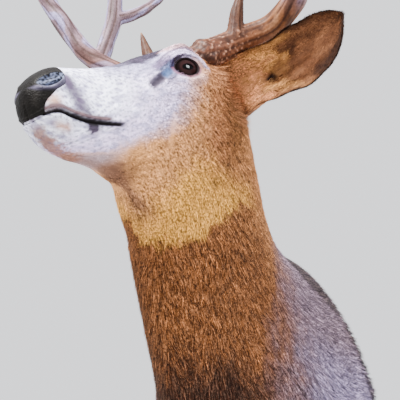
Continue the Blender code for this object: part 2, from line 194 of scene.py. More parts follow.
def relief(tree, height, strength, distance, **settings):
    """Normal of a surface with fine relief."""
    inputs = {"Height": height, "Strength": strength, "Distance": distance}
    return add_node(tree, "Bump", inputs, **settings).outputs["Normal"]


veneer, tree, shader = new_material("board_veneer")
place = places_of(tree)
wander = noise(tree, stretched(tree, place, (1.2, 1.0, 9.0)), 2.0, 3.0, Distortion=0.6)
rings = maths(tree, "FRACT", maths(tree, "MULTIPLY", wander, 24.0))
pores = noise(tree, stretched(tree, place, (12.0, 60.0, 500.0)), 1.0, 4.0)
grain = maths(tree, "MULTIPLY", rings, pores)
depth = add_node(tree, "SeparateXYZ", {"Vector": place}).outputs["Y"]
sheet_at = maths(tree, "FRACT", maths(tree, "MULTIPLY", depth, PLY_SHEETS / BOARD_THICK / 2.0))
sheet_dark = maths(tree, "GREATER_THAN", sheet_at, 0.5)
sheet_dark = maths(tree, "MULTIPLY", sheet_dark, maths(tree, "LESS_THAN", depth, -FACE_SHEET))
feed(shader, {"Base Color": mixed(tree, sheet_dark, mixed(tree, grain, VENEER_PALE, VENEER_DARK), SHEET_DARK),
              "Roughness": ranged(tree, pores, 0.0, 1.0, 0.55, 0.85),
              "Normal": relief(tree, grain, 0.25, 0.0006)})
for slot in frame["nodes"]["back_board"].material_slots:
    slot.material = veneer

# ---------------------------------------------------------------- hide
# The tanned cape over a rigid foam form: one skin from the wall to the bare nose, drawn in from the
# solids by the depth of the coat. Each section is an egg-shaped superellipse in a plane from the
# back line to the throat line. Brow, cheeks, lips, lids and glands are worked into it.
CM = 0.01
EYES_AT = np.array([-6.0, -42.0, 30.0])
HEAD_FORWARD = np.array([-0.373, -0.895, -0.247])
HEAD_UP = np.array([-0.119, -0.217, 0.969])
# Stations of the trunk and neck: back line x y z, throat line x y z, yaw, half width, widest at,
# fullness above, fullness below
BODY = [
    (0.0, -1.83, 23.7, 0.0, -1.83, -27.5, 0, 16.7, 0.42, 1.62, 2.00),
    (-1.6, -8.0, 24.0, -0.4, -10.0, -26.5, 0, 13.9, 0.42, 1.69, 1.90),
    (-2.2, -14.0, 25.5, -1.5, -20.5, -19.4, -2, 9.9, 0.45, 1.83, 1.90),
    (-2.3, -19.3, 28.4, -2.9, -28.4, -8.9, -6, 7.9, 0.51, 1.95, 1.92),
    (-2.4, -24.0, 31.9, -4.4, -34.4, 1.1, -10, 7.8, 0.54, 2.00, 2.00),
    (-2.8, -28.5, 35.3, -5.6, -37.2, 6.9, -15, 7.8, 0.58, 2.10, 2.02),
]
# Stations of the head, in its own frame (forward, left, up from the middle between the eyes):
# back line x z, throat line x z, half width, widest at, fullness above and below, throat shift
HEAD = [
    (-7.4, 5.8, 1.7, -20.4, 7.7, 0.60, 2.2, 2.1, -1.9),
    (-3.4, 5.6, 3.6, -17.6, 7.1, 0.66, 2.4, 2.1, -1.2),
    (0.0, 4.7, 5.2, -15.2, 6.3, 0.70, 2.6, 2.1, -0.5),
    (2.6, 3.4, 6.6, -13.8, 5.7, 0.68, 2.5, 2.15, 0.0),
    (5.0, 2.0, 8.1, -12.9, 5.2, 0.62, 2.4, 2.2, 0.0),
    (7.5, 0.9, 9.5, -12.1, 4.65, 0.55, 2.3, 2.3, 0.0),
    (10.0, 0.0, 11.3, -11.6, 4.2, 0.47, 2.2, 2.3, 0.0),
    (12.5, -0.8, 13.0, -11.3, 3.8, 0.42, 2.2, 2.3, 0.0),
    (15.0, -1.4, 15.1, -11.0, 3.5, 0.42, 2.2, 2.3, 0.0),
    (17.0, -1.9, 17.0, -10.6, 3.3, 0.46, 2.3, 2.3, 0.0),
    (18.3, -2.5, 18.2, -9.9, 3.1, 0.52, 2.4, 2.3, 0.0),
    (19.1, -3.1, 19.0, -9.1, 2.75, 0.55, 2.4, 2.2, 0.0),
    (19.75, -3.8, 19.65, -8.5, 2.2, 0.55, 2.4, 2.2, 0.0),
    (20.2, -4.6, 20.15, -7.7, 1.5, 0.52, 2.3, 2.2, 0.0),
    (20.5, -5.4, 20.45, -6.7, 0.7, 0.50, 2.0, 2.0, 0.0),
]
# Swellings and hollows of the form, on both sides: centre, reach, push (forward, outward, up)
SWELLINGS = [
    ((0.9, 5.3, 2.9), (2.6, 1.7, 1.5), (0.0, 0.45, 0.75)),
    ((-2.6, 6.2, -0.6), (2.4, 2.5, 1.6), (0.0, 0.30, 0.0)),
    ((-4.4, 5.4, 2.6), (1.8, 2.2, 1.6), (0.0, -0.35, -0.10)),
    ((6.6, 4.6, -1.3), (2.6, 2.0, 1.9), (0.0, -0.40, -0.10)),
    ((0.5, 6.0, -8.0), (4.0, 3.0, 3.2), (0.0, 0.35, 0.0)),
    ((12.5, 3.9, -4.2), (3.0, 1.6, 1.5), (0.0, -0.22, 0.0)),
    ((18.6, 2.9, -4.4), (1.2, 1.3, 1.2), (0.0, 0.28, 0.12)),
    ((16.0, 3.4, -8.0), (2.6, 1.5, 1.0), (0.0, 0.15, 0.0)),
]
# Finer forms of the skin: cheek bone, edge of the chewing muscle, jaw edge, chin, cheek hollow
FINE_FORMS = [
    ((2.6, 5.8, -2.9), (2.6, 1.4, 0.55), (0.0, 0.16, 0.0)),
    ((6.6, 4.7, -4.3), (2.2, 1.4, 0.50), (0.0, 0.13, 0.0)),
    ((3.4, 5.6, -4.4), (2.6, 1.4, 0.60), (0.0, -0.13, 0.0)),
    ((3.8, 5.4, -8.6), (0.7, 1.6, 2.60), (0.0, -0.16, 0.0)),
    ((-2.2, 6.4, -7.5), (1.2, 2.0, 3.20), (0.0, -0.12, 0.0)),
    ((6.5, 3.6, -11.0), (3.2, 1.6, 0.60), (0.0, 0.16, -0.05)),
    ((12.0, 3.8, -9.6), (2.4, 1.4, 0.70), (0.0, -0.14, 0.0)),
    ((17.3, 2.4, -10.0), (1.3, 1.6, 0.80), (0.05, 0.10, -0.06)),
    ((10.2, 3.9, -6.3), (1.6, 1.2, 0.60), (0.0, 0.10, 0.0)),
    ((4.2, 2.6, 3.0), (2.4, 1.0, 1.20), (0.0, 0.0, -0.12)),
    ((9.0, 2.4, 0.4), (4.5, 0.7, 0.80), (0.0, 0.04, 0.06)),
    ((15.6, 3.2, -5.6), (0.9, 1.2, 1.40), (0.0, -0.14, 0.0)),
    ((0.9, 4.9, 3.5), (1.8, 1.3, 0.90), (0.0, 0.05, 0.16)),
    ((2.6, 4.6, 1.9), (1.0, 1.2, 0.80), (0.0, -0.10, -0.06)),
    ((5.0, 1.2, 2.2), (2.6, 1.6, 1.4), (0.0, 0.0, 0.28)),
    ((14.8, 0.8, -11.0), (3.0, 1.8, 1.2), (0.0, 0.0, -0.34)),
]
# Mouth line from its corner to the middle of the lip, in cm of the head: forward, up
MOUTH = np.array([(9.8, -7.95), (12.5, -8.25), (15.0, -8.40), (17.0, -8.15), (18.4, -7.80), (19.3, -8.0),
                  (20.2, -8.7)])
MOUTH_DEEP = 0.30
EYE_MIDDLE = np.array([0.05, 4.5, 0.5])
EYE_SIZE = np.array([1.62, 2.2, 1.95])
LID_LONG = 1.60
LID_ABOVE = 1.16
LID_BELOW = 1.06
LID_PROUD = 0.15
GLAND = (np.array([1.9, 5.50, 0.75]), np.array([5.8, 4.9, -2.5]))


def unit(vectors):
    """Vectors of length one."""
    return vectors / np.linalg.norm(vectors, axis=-1, keepdims=True)


def square_to(axis, vector):
    """The part of a vector that is square to an axis, at length one."""
    vector = np.array(vector)
    return unit(vector - axis * float(vector @ axis))


FORWARD = unit(HEAD_FORWARD)
UP = square_to(FORWARD, HEAD_UP)
AXES = np.array([FORWARD, np.cross(UP, FORWARD), UP])


def to_head(points):
    """Points of the room in the frame of the head: forward, left and up from between the eyes."""
    return (points - EYES_AT) @ AXES.T


def to_room(local):
    """Points of the head's frame in the room, in cm."""
    return local @ AXES + EYES_AT


EYE_OUT = unit(np.array([0.33, 0.94, 0.08]))
EYE_UP = square_to(EYE_OUT, [0.16, 0.0, 1.0])
EYE_AHEAD = np.cross(EYE_OUT, EYE_UP)


def fade(low, high, value):
    """Smooth step: 0 at low, 1 at high, 3t^2 - 2t^3 between."""
    t = np.clip((value - low) / (high - low), 0.0, 1.0)
    return t * t * (3.0 - 2.0 * t)


def ripple(points, size, seed):
    """Smooth noise from about -1 to 1: the sum of twelve sine waves of about one length in
    random directions."""
    draw = np.random.default_rng(seed)
    total = np.zeros(points.shape[:-1])
    for _ in range(12):
        direction = unit(draw.normal(size=3))
        length = size * draw.uniform(0.75, 1.35)
        total += np.sin(points @ direction * (2.0 * math.pi / length) + draw.uniform(0.0, 2.0 * math.pi))
    return total * 0.24


def bell(value, width, power=2):
    """Bump of height one about zero: exp(-(value / width)^power)."""
    return np.exp(-((value / width) ** power))


def smooth_table(knots, rows, at):
    """Cubic through the rows, with slopes taken from the neighbours."""
    rows = np.asarray(rows, float)
    slopes = np.gradient(rows, knots, axis=0)
    i = np.clip(np.searchsorted(knots, at, side="right") - 1, 0, len(knots) - 2)
    h = (knots[i + 1] - knots[i])[:, None]
    t = ((at - knots[i])[:, None]) / h
    a = (2 * t**3 - 3 * t**2 + 1) * rows[i]
    b = (t**3 - 2 * t**2 + t) * h * slopes[i]
    c = (-2 * t**3 + 3 * t**2) * rows[i + 1]
    d = (t**3 - t**2) * h * slopes[i + 1]
    return a + b + c + d


def station_rows():
    """Every station as back point, throat point, sideways direction and section shape, in cm."""
    rows = []
    for bx, by, bz, tx, ty, tz, yaw, half, widest, above, below in BODY:
        turn = math.radians(yaw)
        rows.append([bx, by, bz, tx, ty, tz, math.cos(turn), math.sin(turn), 0.0, half, widest, above, below])
    for bx, bz, tx, tz, half, widest, above, below, shift in HEAD:
        back = to_room(np.array([bx, 0.0, bz]))
        throat = to_room(np.array([tx, shift, tz]))
        rows.append([*back, *throat, *AXES[1], half, widest, above, below])
    rows = np.array(rows)
    middle = (rows[:, :3] + rows[:, 3:6]) / 2
    steps = np.linalg.norm(np.diff(middle, axis=0), axis=1)
    return np.concatenate([[0.0], np.cumsum(steps)]), rows


LENGTHS, ROWS = station_rows()
JAW_AT = LENGTHS[6]
BROW_AT = LENGTHS[8]
MUZZLE_AT = LENGTHS[12]
NOSE_AT = LENGTHS[-1]


def coat_depth(at, angle):
    """How far the skin lies under the tips of the coat: deepest on the neck, least on the muzzle."""
    marks = [0.0, 3.0, JAW_AT, BROW_AT, LENGTHS[10], MUZZLE_AT, NOSE_AT]
    top = np.interp(at, marks, [0.32, 0.55, 0.50, 0.22, 0.12, 0.08, 0.03])
    bottom = np.interp(at, marks, [0.32, 0.60, 0.60, 0.45, 0.30, 0.15, 0.05])
    return top + (bottom - top) * (0.5 - 0.5 * np.cos(angle)) ** 2


def swell(local, forms):
    """Add Gaussian pushes about each centre and its mirror image."""
    moved = local.copy()
    for centre, reach, push in forms:
        for sign in (1.0, -1.0):
            away = (local - np.array([centre[0], sign * centre[1], centre[2]])) / np.array(reach)
            weight = np.exp(-np.sum(away**2, axis=-1))
            moved += weight[..., None] * np.array([push[0], sign * push[1], push[2]])
    return moved


def near_side(local):
    """Signs that carry the right side of the head onto the left, and back."""
    return np.where(local[..., 1:2] < 0, [1.0, -1.0, 1.0], [1.0, 1.0, 1.0])


def lid_share(ahead, up):
    """1 on the lid line of an almond whose upper lid is higher than its lower one."""
    high = np.where(up > 0, LID_ABOVE, LID_BELOW)
    return np.sqrt((np.abs(ahead) / LID_LONG) ** 1.8 + (up / high) ** 2 + 1e-9)


def eye_share(local):
    """Place about the eye of its side: forward and up from its middle, outward, and lid share."""
    away = local * near_side(local) - EYE_MIDDLE
    ahead = away @ EYE_AHEAD
    up = away @ EYE_UP
    return ahead, up, away @ EYE_OUT, lid_share(ahead, up)


def glass_out(ahead, up):
    """Outward reach of the glass eye, an ellipsoid, at a place forward and up from its middle."""
    round_off = (ahead / EYE_SIZE[1]) ** 2 + (up / EYE_SIZE[2]) ** 2
    return EYE_SIZE[0] * np.sqrt(np.maximum(1.0 - round_off, 0.05))


def shape_lids(local):
    """Lids: outward distance follows the glass eye, turns in behind it inside the lid line, stands
    proud as a rolled rim on the line, has creases above, and melts into the brow."""
    ahead, up, out, share = eye_share(local)
    shrink = np.minimum(1.0, 1.0 / share)
    glass = glass_out(ahead * shrink, up * shrink)
    rim = -0.34 + (0.34 + LID_PROUD) * fade(0.88, 1.02, share) + 0.35 * fade(1.15, 2.1, share)
    above = fade(-0.3, 0.5, up)
    for amount, middle, width in ((0.07, 1.10, 0.07), (above * -0.13, 1.30, 0.07), (above * 0.10, 1.47, 0.11),
                                  (above * -0.08, 1.68, 0.08), ((1.0 - above) * -0.035, 1.34, 0.09)):
        rim += amount * bell(share - middle, width)
    weight = (1.0 - fade(1.25, 2.25, share)) * fade(-0.6, 0.2, out)
    return local + ((glass + rim - out) * weight)[..., None] * EYE_OUT * near_side(local)


def line_distance(local, ends):
    """Distance to a straight run on the near side and the share of it that has passed."""
    from_start = local * near_side(local) - ends[0]
    along = ends[1] - ends[0]
    share = np.clip(from_start @ along / (along @ along), 0.0, 1.0)
    return np.linalg.norm(from_start - share[..., None] * along, axis=-1), share


def mouth_distance(local):
    """Height over the mouth line, and 1 inside its reach fading to 0 past its corner."""
    line = smooth_table(MOUTH[:, 0], MOUTH[:, 1:], np.clip(local[..., 0], 9.0, 20.2).ravel())
    over = local[..., 2] - line[:, 0].reshape(local.shape[:-1])
    return over, fade(9.3, 10.6, local[..., 0])


def shape_face(local):
    """Tear gland in front of the eye, and the closed mouth between rolled lips."""
    away = line_distance(local, GLAND)[0]
    sideways = np.stack([0.25 + 0.0 * away, np.sign(local[..., 1]), 0.0 * away], axis=-1)
    local = local + (0.10 * bell(away - 0.78, 0.28) - 0.20 * bell(away, 0.38))[..., None] * sideways
    over, reach = mouth_distance(local)
    front = np.clip(local[..., 0] - 16.5, 0.0, None)
    push = unit(np.stack([front, local[..., 1] * 1.2, 0.0 * front], axis=-1) + 1e-9)
    roll = 0.09 * bell(over - 0.42, 0.24) + 0.07 * bell(over + 0.45, 0.26) - MOUTH_DEEP * bell(over, 0.14)
    return local + (roll * reach * fade(9.0, 11.0, local[..., 0]))[..., None] * push


def hide(at, angle, depth=None):
    """Point of the skin in cm for a length along the body and an angle from the back line (pi is
    the throat line, 0 to pi the left side), drawn in by the coat's depth, then sculpted."""
    q = smooth_table(LENGTHS, ROWS, at.ravel()).reshape(*at.shape, ROWS.shape[1])
    depth = coat_depth(at, angle) if depth is None else depth
    back = q[..., 0:3]
    throat = q[..., 3:6]
    half = q[..., 9] - depth
    widest = q[..., 10]
    tall = np.linalg.norm(back - throat, axis=-1)
    upward = (back - throat) / tall[..., None]
    centre = throat + (back - throat) * widest[..., None]
    c = np.cos(angle)
    s = np.sin(angle)
    power = 2.0 / np.where(c > 0, q[..., 11], q[..., 12])
    across = half * np.sign(s) * np.abs(s) ** power
    reach = np.where(c > 0, tall * (1.0 - widest) - depth, depth - tall * widest)
    points = centre + across[..., None] * unit(q[..., 6:9]) + (reach * np.abs(c) ** power)[..., None] * upward
    local = swell(to_head(points), SWELLINGS)
    local = shape_lids(shape_face(swell(local, FINE_FORMS)))
    return to_room(local)


def find_on_hide(spots):
    """Length and angle of the hide nearest to each spot, by trying a fine net of them."""
    at, angle = np.meshgrid(np.linspace(JAW_AT, NOSE_AT, 420), np.linspace(0.0, math.pi, 260), indexing="ij")
    net = to_head(hide(at, angle))
    found = []
    for spot in spots:
        nearest = np.argmin(np.sum((net - np.array(spot)) ** 2, axis=-1))
        found.append((at.ravel()[nearest], angle.ravel()[nearest]))
    return np.array(found)


# Edge of the bare nose leather from the top of the nose, behind the nostril, to the upper lip
NOSE_EDGE = [(16.9, 0.0, -1.9), (16.8, 1.6, -2.2), (16.9, 2.7, -3.4), (17.4, 2.9, -4.8), (18.7, 2.75, -5.8),
             (19.35, 2.3, -6.7), (19.4, 2.0, -7.4), (19.25, 1.9, -8.0), (19.6, 1.0, -8.4), (19.7, 0.0, -8.5)]
edge_found = find_on_hide(NOSE_EDGE)
edge_found[0, 1] = 0.0
edge_found[-1, 1] = math.pi


def nose_edge(angle):
    """Length at which the bare nose begins, for each angle: a cosine-smoothed run through the edge."""
    folded = np.abs((angle + math.pi) % (2.0 * math.pi) - math.pi)
    fine = np.linspace(-0.6, math.pi + 0.6, 400)
    rough = np.interp(np.abs(math.pi - np.abs(math.pi - np.abs(fine))), edge_found[:, 1], edge_found[:, 0])
    kernel = np.hanning(31) / np.hanning(31).sum()
    smooth = np.convolve(np.pad(rough, 15, mode="edge"), kernel, mode="valid")
    return np.interp(folded, fine, smooth)


def crowded(count, low, high, crowd, middle, reach):
    """Numbers from low to high, closer together round a middle: the inverse of a summed density."""
    fine = np.linspace(low, high, 4000)
    density = 1.0 + crowd * np.exp(-(((fine - middle) / reach) ** 2))
    total = np.concatenate([[0.0], np.cumsum((density[1:] + density[:-1]) / 2.0)])
    return np.interp(np.linspace(0.0, total[-1], count), total, fine)


def grid_faces(rows, columns):
    """Quads of a grid whose last column joins the first, facing outward where rows run away from
    the wall and columns run from the back over the left side."""
    start = np.arange(rows - 1)[:, None] * columns
    here = np.arange(columns)[None, :]
    after = (here + 1) % columns
    quads = [start + here, start + columns + here, start + columns + after, start + after]
    return np.stack(quads, axis=-1).reshape(-1, 4)


def closed_faces(rows, columns, inside_out=False):
    """Faces of a closed tube: the grid, and a fan from each end ring to its pole. The poles follow
    the grid's points; inside_out turns every face round."""
    ring = np.arange(columns)
    after = np.roll(ring, -1)
    pole = np.full(columns, rows * columns)
    last = (rows - 1) * columns
    faces = [grid_faces(rows, columns), np.stack([pole, ring, after], axis=-1),
             np.stack([pole + 1, last + after, last + ring], axis=-1)]
    return [f[:, ::-1] for f in faces] if inside_out else faces


def colour_points(mesh, colours):
    """Keep one colour for each point in the mesh."""
    rgba = np.concatenate([colours, np.ones((len(colours), 1))], axis=1)
    layer = mesh.color_attributes.new("coat_colour", "FLOAT_COLOR", "POINT")
    layer.data.foreach_set("color", rgba.astype(np.float32).ravel())


def add_piece(name, points, faces, colours=None, maps=None):
    """Mesh object from arrays: points in cm, a list of face arrays, colour and UV per point."""
    corners = np.concatenate([f.ravel() for f in faces])
    sizes = np.concatenate([np.full(len(f), f.shape[1]) for f in faces])
    mesh = bpy.data.meshes.new(name)
    mesh.vertices.add(len(points))
    mesh.vertices.foreach_set("co", np.ascontiguousarray(points * CM, np.float32).ravel())
    mesh.loops.add(len(corners))
    mesh.loops.foreach_set("vertex_index", corners.astype(np.int32))
    mesh.polygons.add(len(sizes))
    mesh.polygons.foreach_set("loop_start", np.concatenate([[0], np.cumsum(sizes)[:-1]]).astype(np.int32))
    mesh.polygons.foreach_set("use_smooth", np.ones(len(sizes), bool))
    mesh.update(calc_edges=True)
    if colours is not None:
        colour_points(mesh, colours)
    for label, places in (maps or {}).items():
        layer = mesh.uv_layers.new(name=label)
        layer.uv.foreach_set("vector", places[corners].astype(np.float32).ravel())
    made = bpy.data.objects.new(name, mesh)
    room.link(made)
    return made


# Colours of the coat, with painted sheen, light and shade, from the back of the neck to the chin
NECK_BROWN = np.array([0.172, 0.060, 0.018])
NECK_TAWNY = np.array([0.350, 0.140, 0.046])
NECK_DARK = np.array([0.036, 0.012, 0.006])
SHOULDER_GREY = np.array([0.178, 0.126, 0.168])
# Painted bluish sheen of cool light, low on the shoulder
SHOULDER_SHEEN_BLUE = np.array([0.270, 0.225, 0.375])
BRISKET_DARK = np.array([0.030, 0.016, 0.013])
# Dark hair tips, and painted shade of the gap where the hide meets the wall
EDGE_HAIR_AND_SHADE = np.array([0.012, 0.009, 0.011])
CHEEK_TAN = np.array([0.590, 0.265, 0.098])
CHEEK_GOLD = np.array([0.370, 0.142, 0.054])
CHEEK_PINK = np.array([0.600, 0.370, 0.350])
# Tan fur of the chin's lower rim, with painted shade
CHIN_RIM_TAN_AND_SHADE = np.array([0.230, 0.098, 0.064])
THROAT_CREAM = np.array([0.900, 0.425, 0.078])
# Painted shade under the jaw and throat, and under the chin
THROAT_SHADE = np.array([0.140, 0.064, 0.038])
CHIN_SHADE = np.array([0.360, 0.280, 0.330])
# Tan by the ear's root, painted lighter as painted light in the shade of the head
EAR_SIDE_TAN_AND_LIGHT = np.array([0.640, 0.265, 0.110])
FACE_LILAC = np.array([0.740, 0.610, 0.900])
FACE_WHITE = np.array([0.900, 0.910, 1.100])
MUZZLE_GREY = np.array([0.290, 0.270, 0.430])
FLECK_GREY = MUZZLE_GREY * 1.1
BROW_TAN = np.array([0.180, 0.085, 0.080])
BROW_CREAM = np.array([0.520, 0.290, 0.280])
FOREHEAD = np.array([0.025, 0.020, 0.035])
GLAND_BLUE = np.array([0.056, 0.094, 0.200])
GLAND_DARK = np.array([0.020, 0.015, 0.024])
MUZZLE_MAUVE = np.array([0.095, 0.068, 0.120])
MAUVE_BAND = (np.array([17.2, 2.9, -3.9]), np.array([15.5, 3.4, -6.9]))
LIP_TAN = np.array([0.560, 0.270, 0.150])
LIP_SHADE = LIP_TAN * [0.20, 0.25, 0.50]
LIP_BLACK = np.array([0.006, 0.004, 0.005])
LID_BLACK = np.array([0.012, 0.006, 0.007])
LID_PINK = np.array([0.240, 0.085, 0.130])
GLAND_SHADOW = (np.array([1.6, 5.2, 1.9]), np.array([4.6, 4.7, 0.2]))
# Small dark scars of the left neck: place in the room, size
NECK_SCARS = [((2.6, -37.3, 21.6), 0.9), ((1.6, -38.6, 18.6), 0.8), ((3.3, -34.6, 17.6), 0.9),
              ((0.2, -40.9, 16.8), 0.6), ((5.4, -28.4, 6.0), 1.0), ((3.9, -34.0, 19.6), 0.6)]


def paint(colour, *layers):
    """Blend colours over another in turn, each by an amount for each point."""
    for new, amount in layers:
        colour = colour + (new - colour) * np.clip(amount, 0.0, 1.0)[..., None]
    return colour


def blob(points, middle, size):
    """Round soft mask: 1 in the middle, falling off as a Gaussian."""
    return np.exp(-np.sum((points - np.array(middle)) ** 2, axis=-1) / size**2)


def body_marks(spot, local, rag):
    """Neck, shoulder, throat patch and cheeks: brown above, darker to the brisket, grey behind the
    neck with a painted bluish sheen low on the shoulder, black along the wall from dark hair tips and
    painted shade of the gap at the wall, cream under the jaw and tan towards the face, and by the
    ear's root a tan painted lighter as painted light in the shade of the head."""
    high = spot[..., 2]
    out = -spot[..., 1]
    x = local[..., 0]
    z = local[..., 2]
    throat_side = fade(-3.5, -9.5, spot[..., 0] + 0.09 * (out - 34.0))
    withers = fade(19.9, 22.3, high + 1.1 * (10.0 - out) + 0.6 * rag) * fade(17.5, 9.5, out + 1.2 * rag)
    patch_edge = np.interp(spot[..., 0], [-12.0, -8.5, -7.6, -6.9, -5.2, -3.4, -0.6, 0.3, 1.3, 2.7, 5.0],
                           [15.5, 13.5, 12.8, 11.7, 10.8, 11.4, 12.2, 13.6, 15.3, 17.4, 21.0])
    over_patch = fade(patch_edge - 0.3, patch_edge + 0.4, high + rag)
    throat = over_patch * fade(23.0, 17.0, high + rag)
    tan_edge = np.interp(z, [-14.0, -11.5, -9.0, -6.5, -3.0, 0.0, 3.0],
                         [4.0, 1.2, -0.6, -1.2, -1.6, -2.0, -2.4])
    tan = fade(tan_edge - 2.2, tan_edge + 2.0, x + 1.2 * rag) * over_patch
    about_ear = np.stack([x + 9.8, np.abs(local[..., 1]) - 5.6, z - 0.6], axis=-1)
    return paint(
        np.ones((*x.shape, 3)) * NECK_BROWN,
        (NECK_TAWNY, 0.95 * fade(11.0, 25.0, high + 2.0 * rag + 0.25 * (spot[..., 0] - 2.0))),
        (NECK_DARK, 0.50 * throat_side * fade(13.0, 8.0, high)),
        (NECK_DARK, 0.78 * fade(5.0, -10.0, high + 2.0 * rag)),
        (SHOULDER_GREY, 0.95 * fade(25.5, 12.5, out + 2.4 * rag + 0.12 * (high - 5.0))),
        # painted bluish sheen of cool light low on the shoulder
        (SHOULDER_SHEEN_BLUE, 0.7 * fade(18.0, 11.0, out + 2.0 * rag) * fade(10.0, 1.0, high)),
        (BRISKET_DARK, 0.80 * fade(-12.0, -22.0, high + 2.0 * rag)),
        (NECK_DARK, 0.95 * fade(2.0, -4.0, high + 1.5 * rag) * fade(20.0, 26.0, out)),
        # dark stripe of the withers, and along the wall dark hair tips with painted shade of the gap there
        (EDGE_HAIR_AND_SHADE, 0.85 * np.maximum(fade(3.4, 2.1, out + 0.35 * rag), withers)),
        (CHEEK_GOLD, 0.85 * fade(patch_edge + 1.0, patch_edge + 4.0, high + 0.8 * rag)
         * fade(-8.2, -3.5, x + 1.4 * rag)),
        (THROAT_CREAM, throat * fade(28.0, 33.0, out)),
        (CHEEK_TAN, 0.9 * tan),
        # tan about the ear's root, painted lighter as painted light where the head and ear shade it
        (EAR_SIDE_TAN_AND_LIGHT, 0.85 * fade(6.0, 3.8, np.linalg.norm(about_ear, axis=-1) + 0.5 * rag)))


def face_marks(colour, local, rag, small):
    """White muzzle that turns lilac on the cheek, then pink and tan with a ragged border, grey
    forehead and nose bridge, painted shade under the chin, the jaw and the throat, tan with painted
    shade on the chin's lower rim, and the mauve and tan marks round the lips."""
    x = local[..., 0]
    z = local[..., 2]
    wide = np.abs(local[..., 1])
    edge = np.interp(z, [-11.9, -11.3, -10.8, -10.2, -9.4, -8.7, -7.5, -6.0, -3.6, 0.0, 3.0],
                     [40.0, 15.0, 10.6, 9.0, 7.6, 6.0, 4.0, 2.4, 1.0, -0.8, -1.6])
    past = x - edge + 0.9 * rag
    white = fade(-1.0, 3.0, past)
    chin = fade(-10.0, -11.0, z + 0.3 * rag) * fade(8.0, 11.5, x)
    keel = fade(-11.0, -12.0, z) * fade(-17.5, -15.0, z)
    keel = keel * fade(2.0, 0.4, wide + 0.4 * rag) * fade(1.5, 4.5, x)
    fleck = ripple(local * [0.45, 1.0, 1.0], 0.75, 10)
    bridge = np.interp(x, [0.0, 4.0, 7.6, 10.0, 14.0], [1.2, -0.4, -1.2, -1.5, -2.0])
    upper = fade(bridge - 1.7, bridge + 0.2, z + 0.7 * small) * fade(14.0, 10.0, x) * fade(2.0, 4.5, x)
    middle = np.interp(x, [-3.0, 1.5, 3.5, 4.5, 6.0, 8.0, 11.0, 13.0],
                       [2.6, 2.8, 3.9, 3.7, 3.0, 2.4, 1.6, 0.8])
    strip = fade(middle + 0.45, middle - 0.25, wide + 0.35 * rag) * fade(-3.0, -1.6, z) * fade(-9.0, -5.0, x)
    brow = fade(2.3, 3.0, z + 0.1 * rag) * fade(2.8, 3.6, wide) * fade(-3.0, -1.0, x) * fade(5.0, 3.6, x)
    rim = fade(1.5, 0.5, wide + 0.5 * small) * fade(-8.4, -9.4, z) * fade(12.5, 14.5, x)
    away, share = line_distance(local, MAUVE_BAND)
    over, reach = mouth_distance(local)
    scab = blob(local, (17.9, 2.3, -9.1), 0.55) + blob(local, (17.1, 2.6, -9.3), 0.50)
    spot = blob(local, (14.0, 3.4, -9.0), 0.72) + 0.7 * blob(local, (14.4, 3.4, -8.6), 0.5)
    spot += 0.6 * blob(local, (14.9, 3.3, -7.5), 0.45)
    lips = np.interp(x, [9.4, 10.2, 14.0, 17.0, 19.6], [0.22, 0.34, 0.40, 0.33, 0.26])
    return paint(
        colour,
        # painted shade: lilac grey under the chin, brown under the jaw and along the underside of the throat
        (CHIN_SHADE, 0.9 * chin),
        (THROAT_SHADE, 0.9 * fade(-11.3, -12.3, z + 0.3 * rag) * fade(5.6, 9.0, x)),
        (THROAT_SHADE, 0.85 * keel),
        (CHEEK_PINK, 0.9 * fade(-2.2, 0.6, past)),
        (FACE_LILAC, 0.95 * fade(0.2, 2.6, past)),
        (FACE_WHITE, fade(4.4, 9.5, past + 1.5 * small)),
        (FLECK_GREY, 0.62 * fade(0.15, 0.95, small) * white),
        (FLECK_GREY, 0.72 * np.clip(1.6 * fleck - 0.1, 0.0, 1.0) * white),
        (MUZZLE_GREY * (1.0 - 0.35 * np.clip(small, -0.5, 1.0))[..., None], 0.85 * upper),
        (FOREHEAD, strip * fade(12.5, 6.0, x + rag)),
        (BROW_CREAM, 0.8 * brow),
        (BROW_TAN, 0.85 * brow * fade(1.2, 0.0, x + 0.5 * small)),
        # tan fur of the chin's lower rim, darkened by painted shade
        (CHIN_RIM_TAN_AND_SHADE, 0.9 * rim),
        (MUZZLE_MAUVE * 0.9, bell(away, 1.15, 3) * (1.02 - 0.10 * share + 0.05 * np.clip(fleck, -1.0, 1.0))),
        (MUZZLE_MAUVE, 0.42 * np.clip(1.4 * small - 0.2, 0.0, 1.0) * white),
        (LIP_TAN, 0.9 * blob(local * [1, 0, 1], (18.8, 0.0, -6.75), 0.75) * fade(1.0, 2.0, wide)),
        (LIP_SHADE, 1.25 * reach * bell(over - 0.52, 0.30) * fade(11.0, 12.5, x)),
        (LIP_TAN * 0.8, 0.75 * scab),
        (GLAND_DARK * 2.6, spot * (1.5 + 0.5 * small)),
        (LIP_BLACK, reach * bell(over, lips + 0.03 * small, 4)))


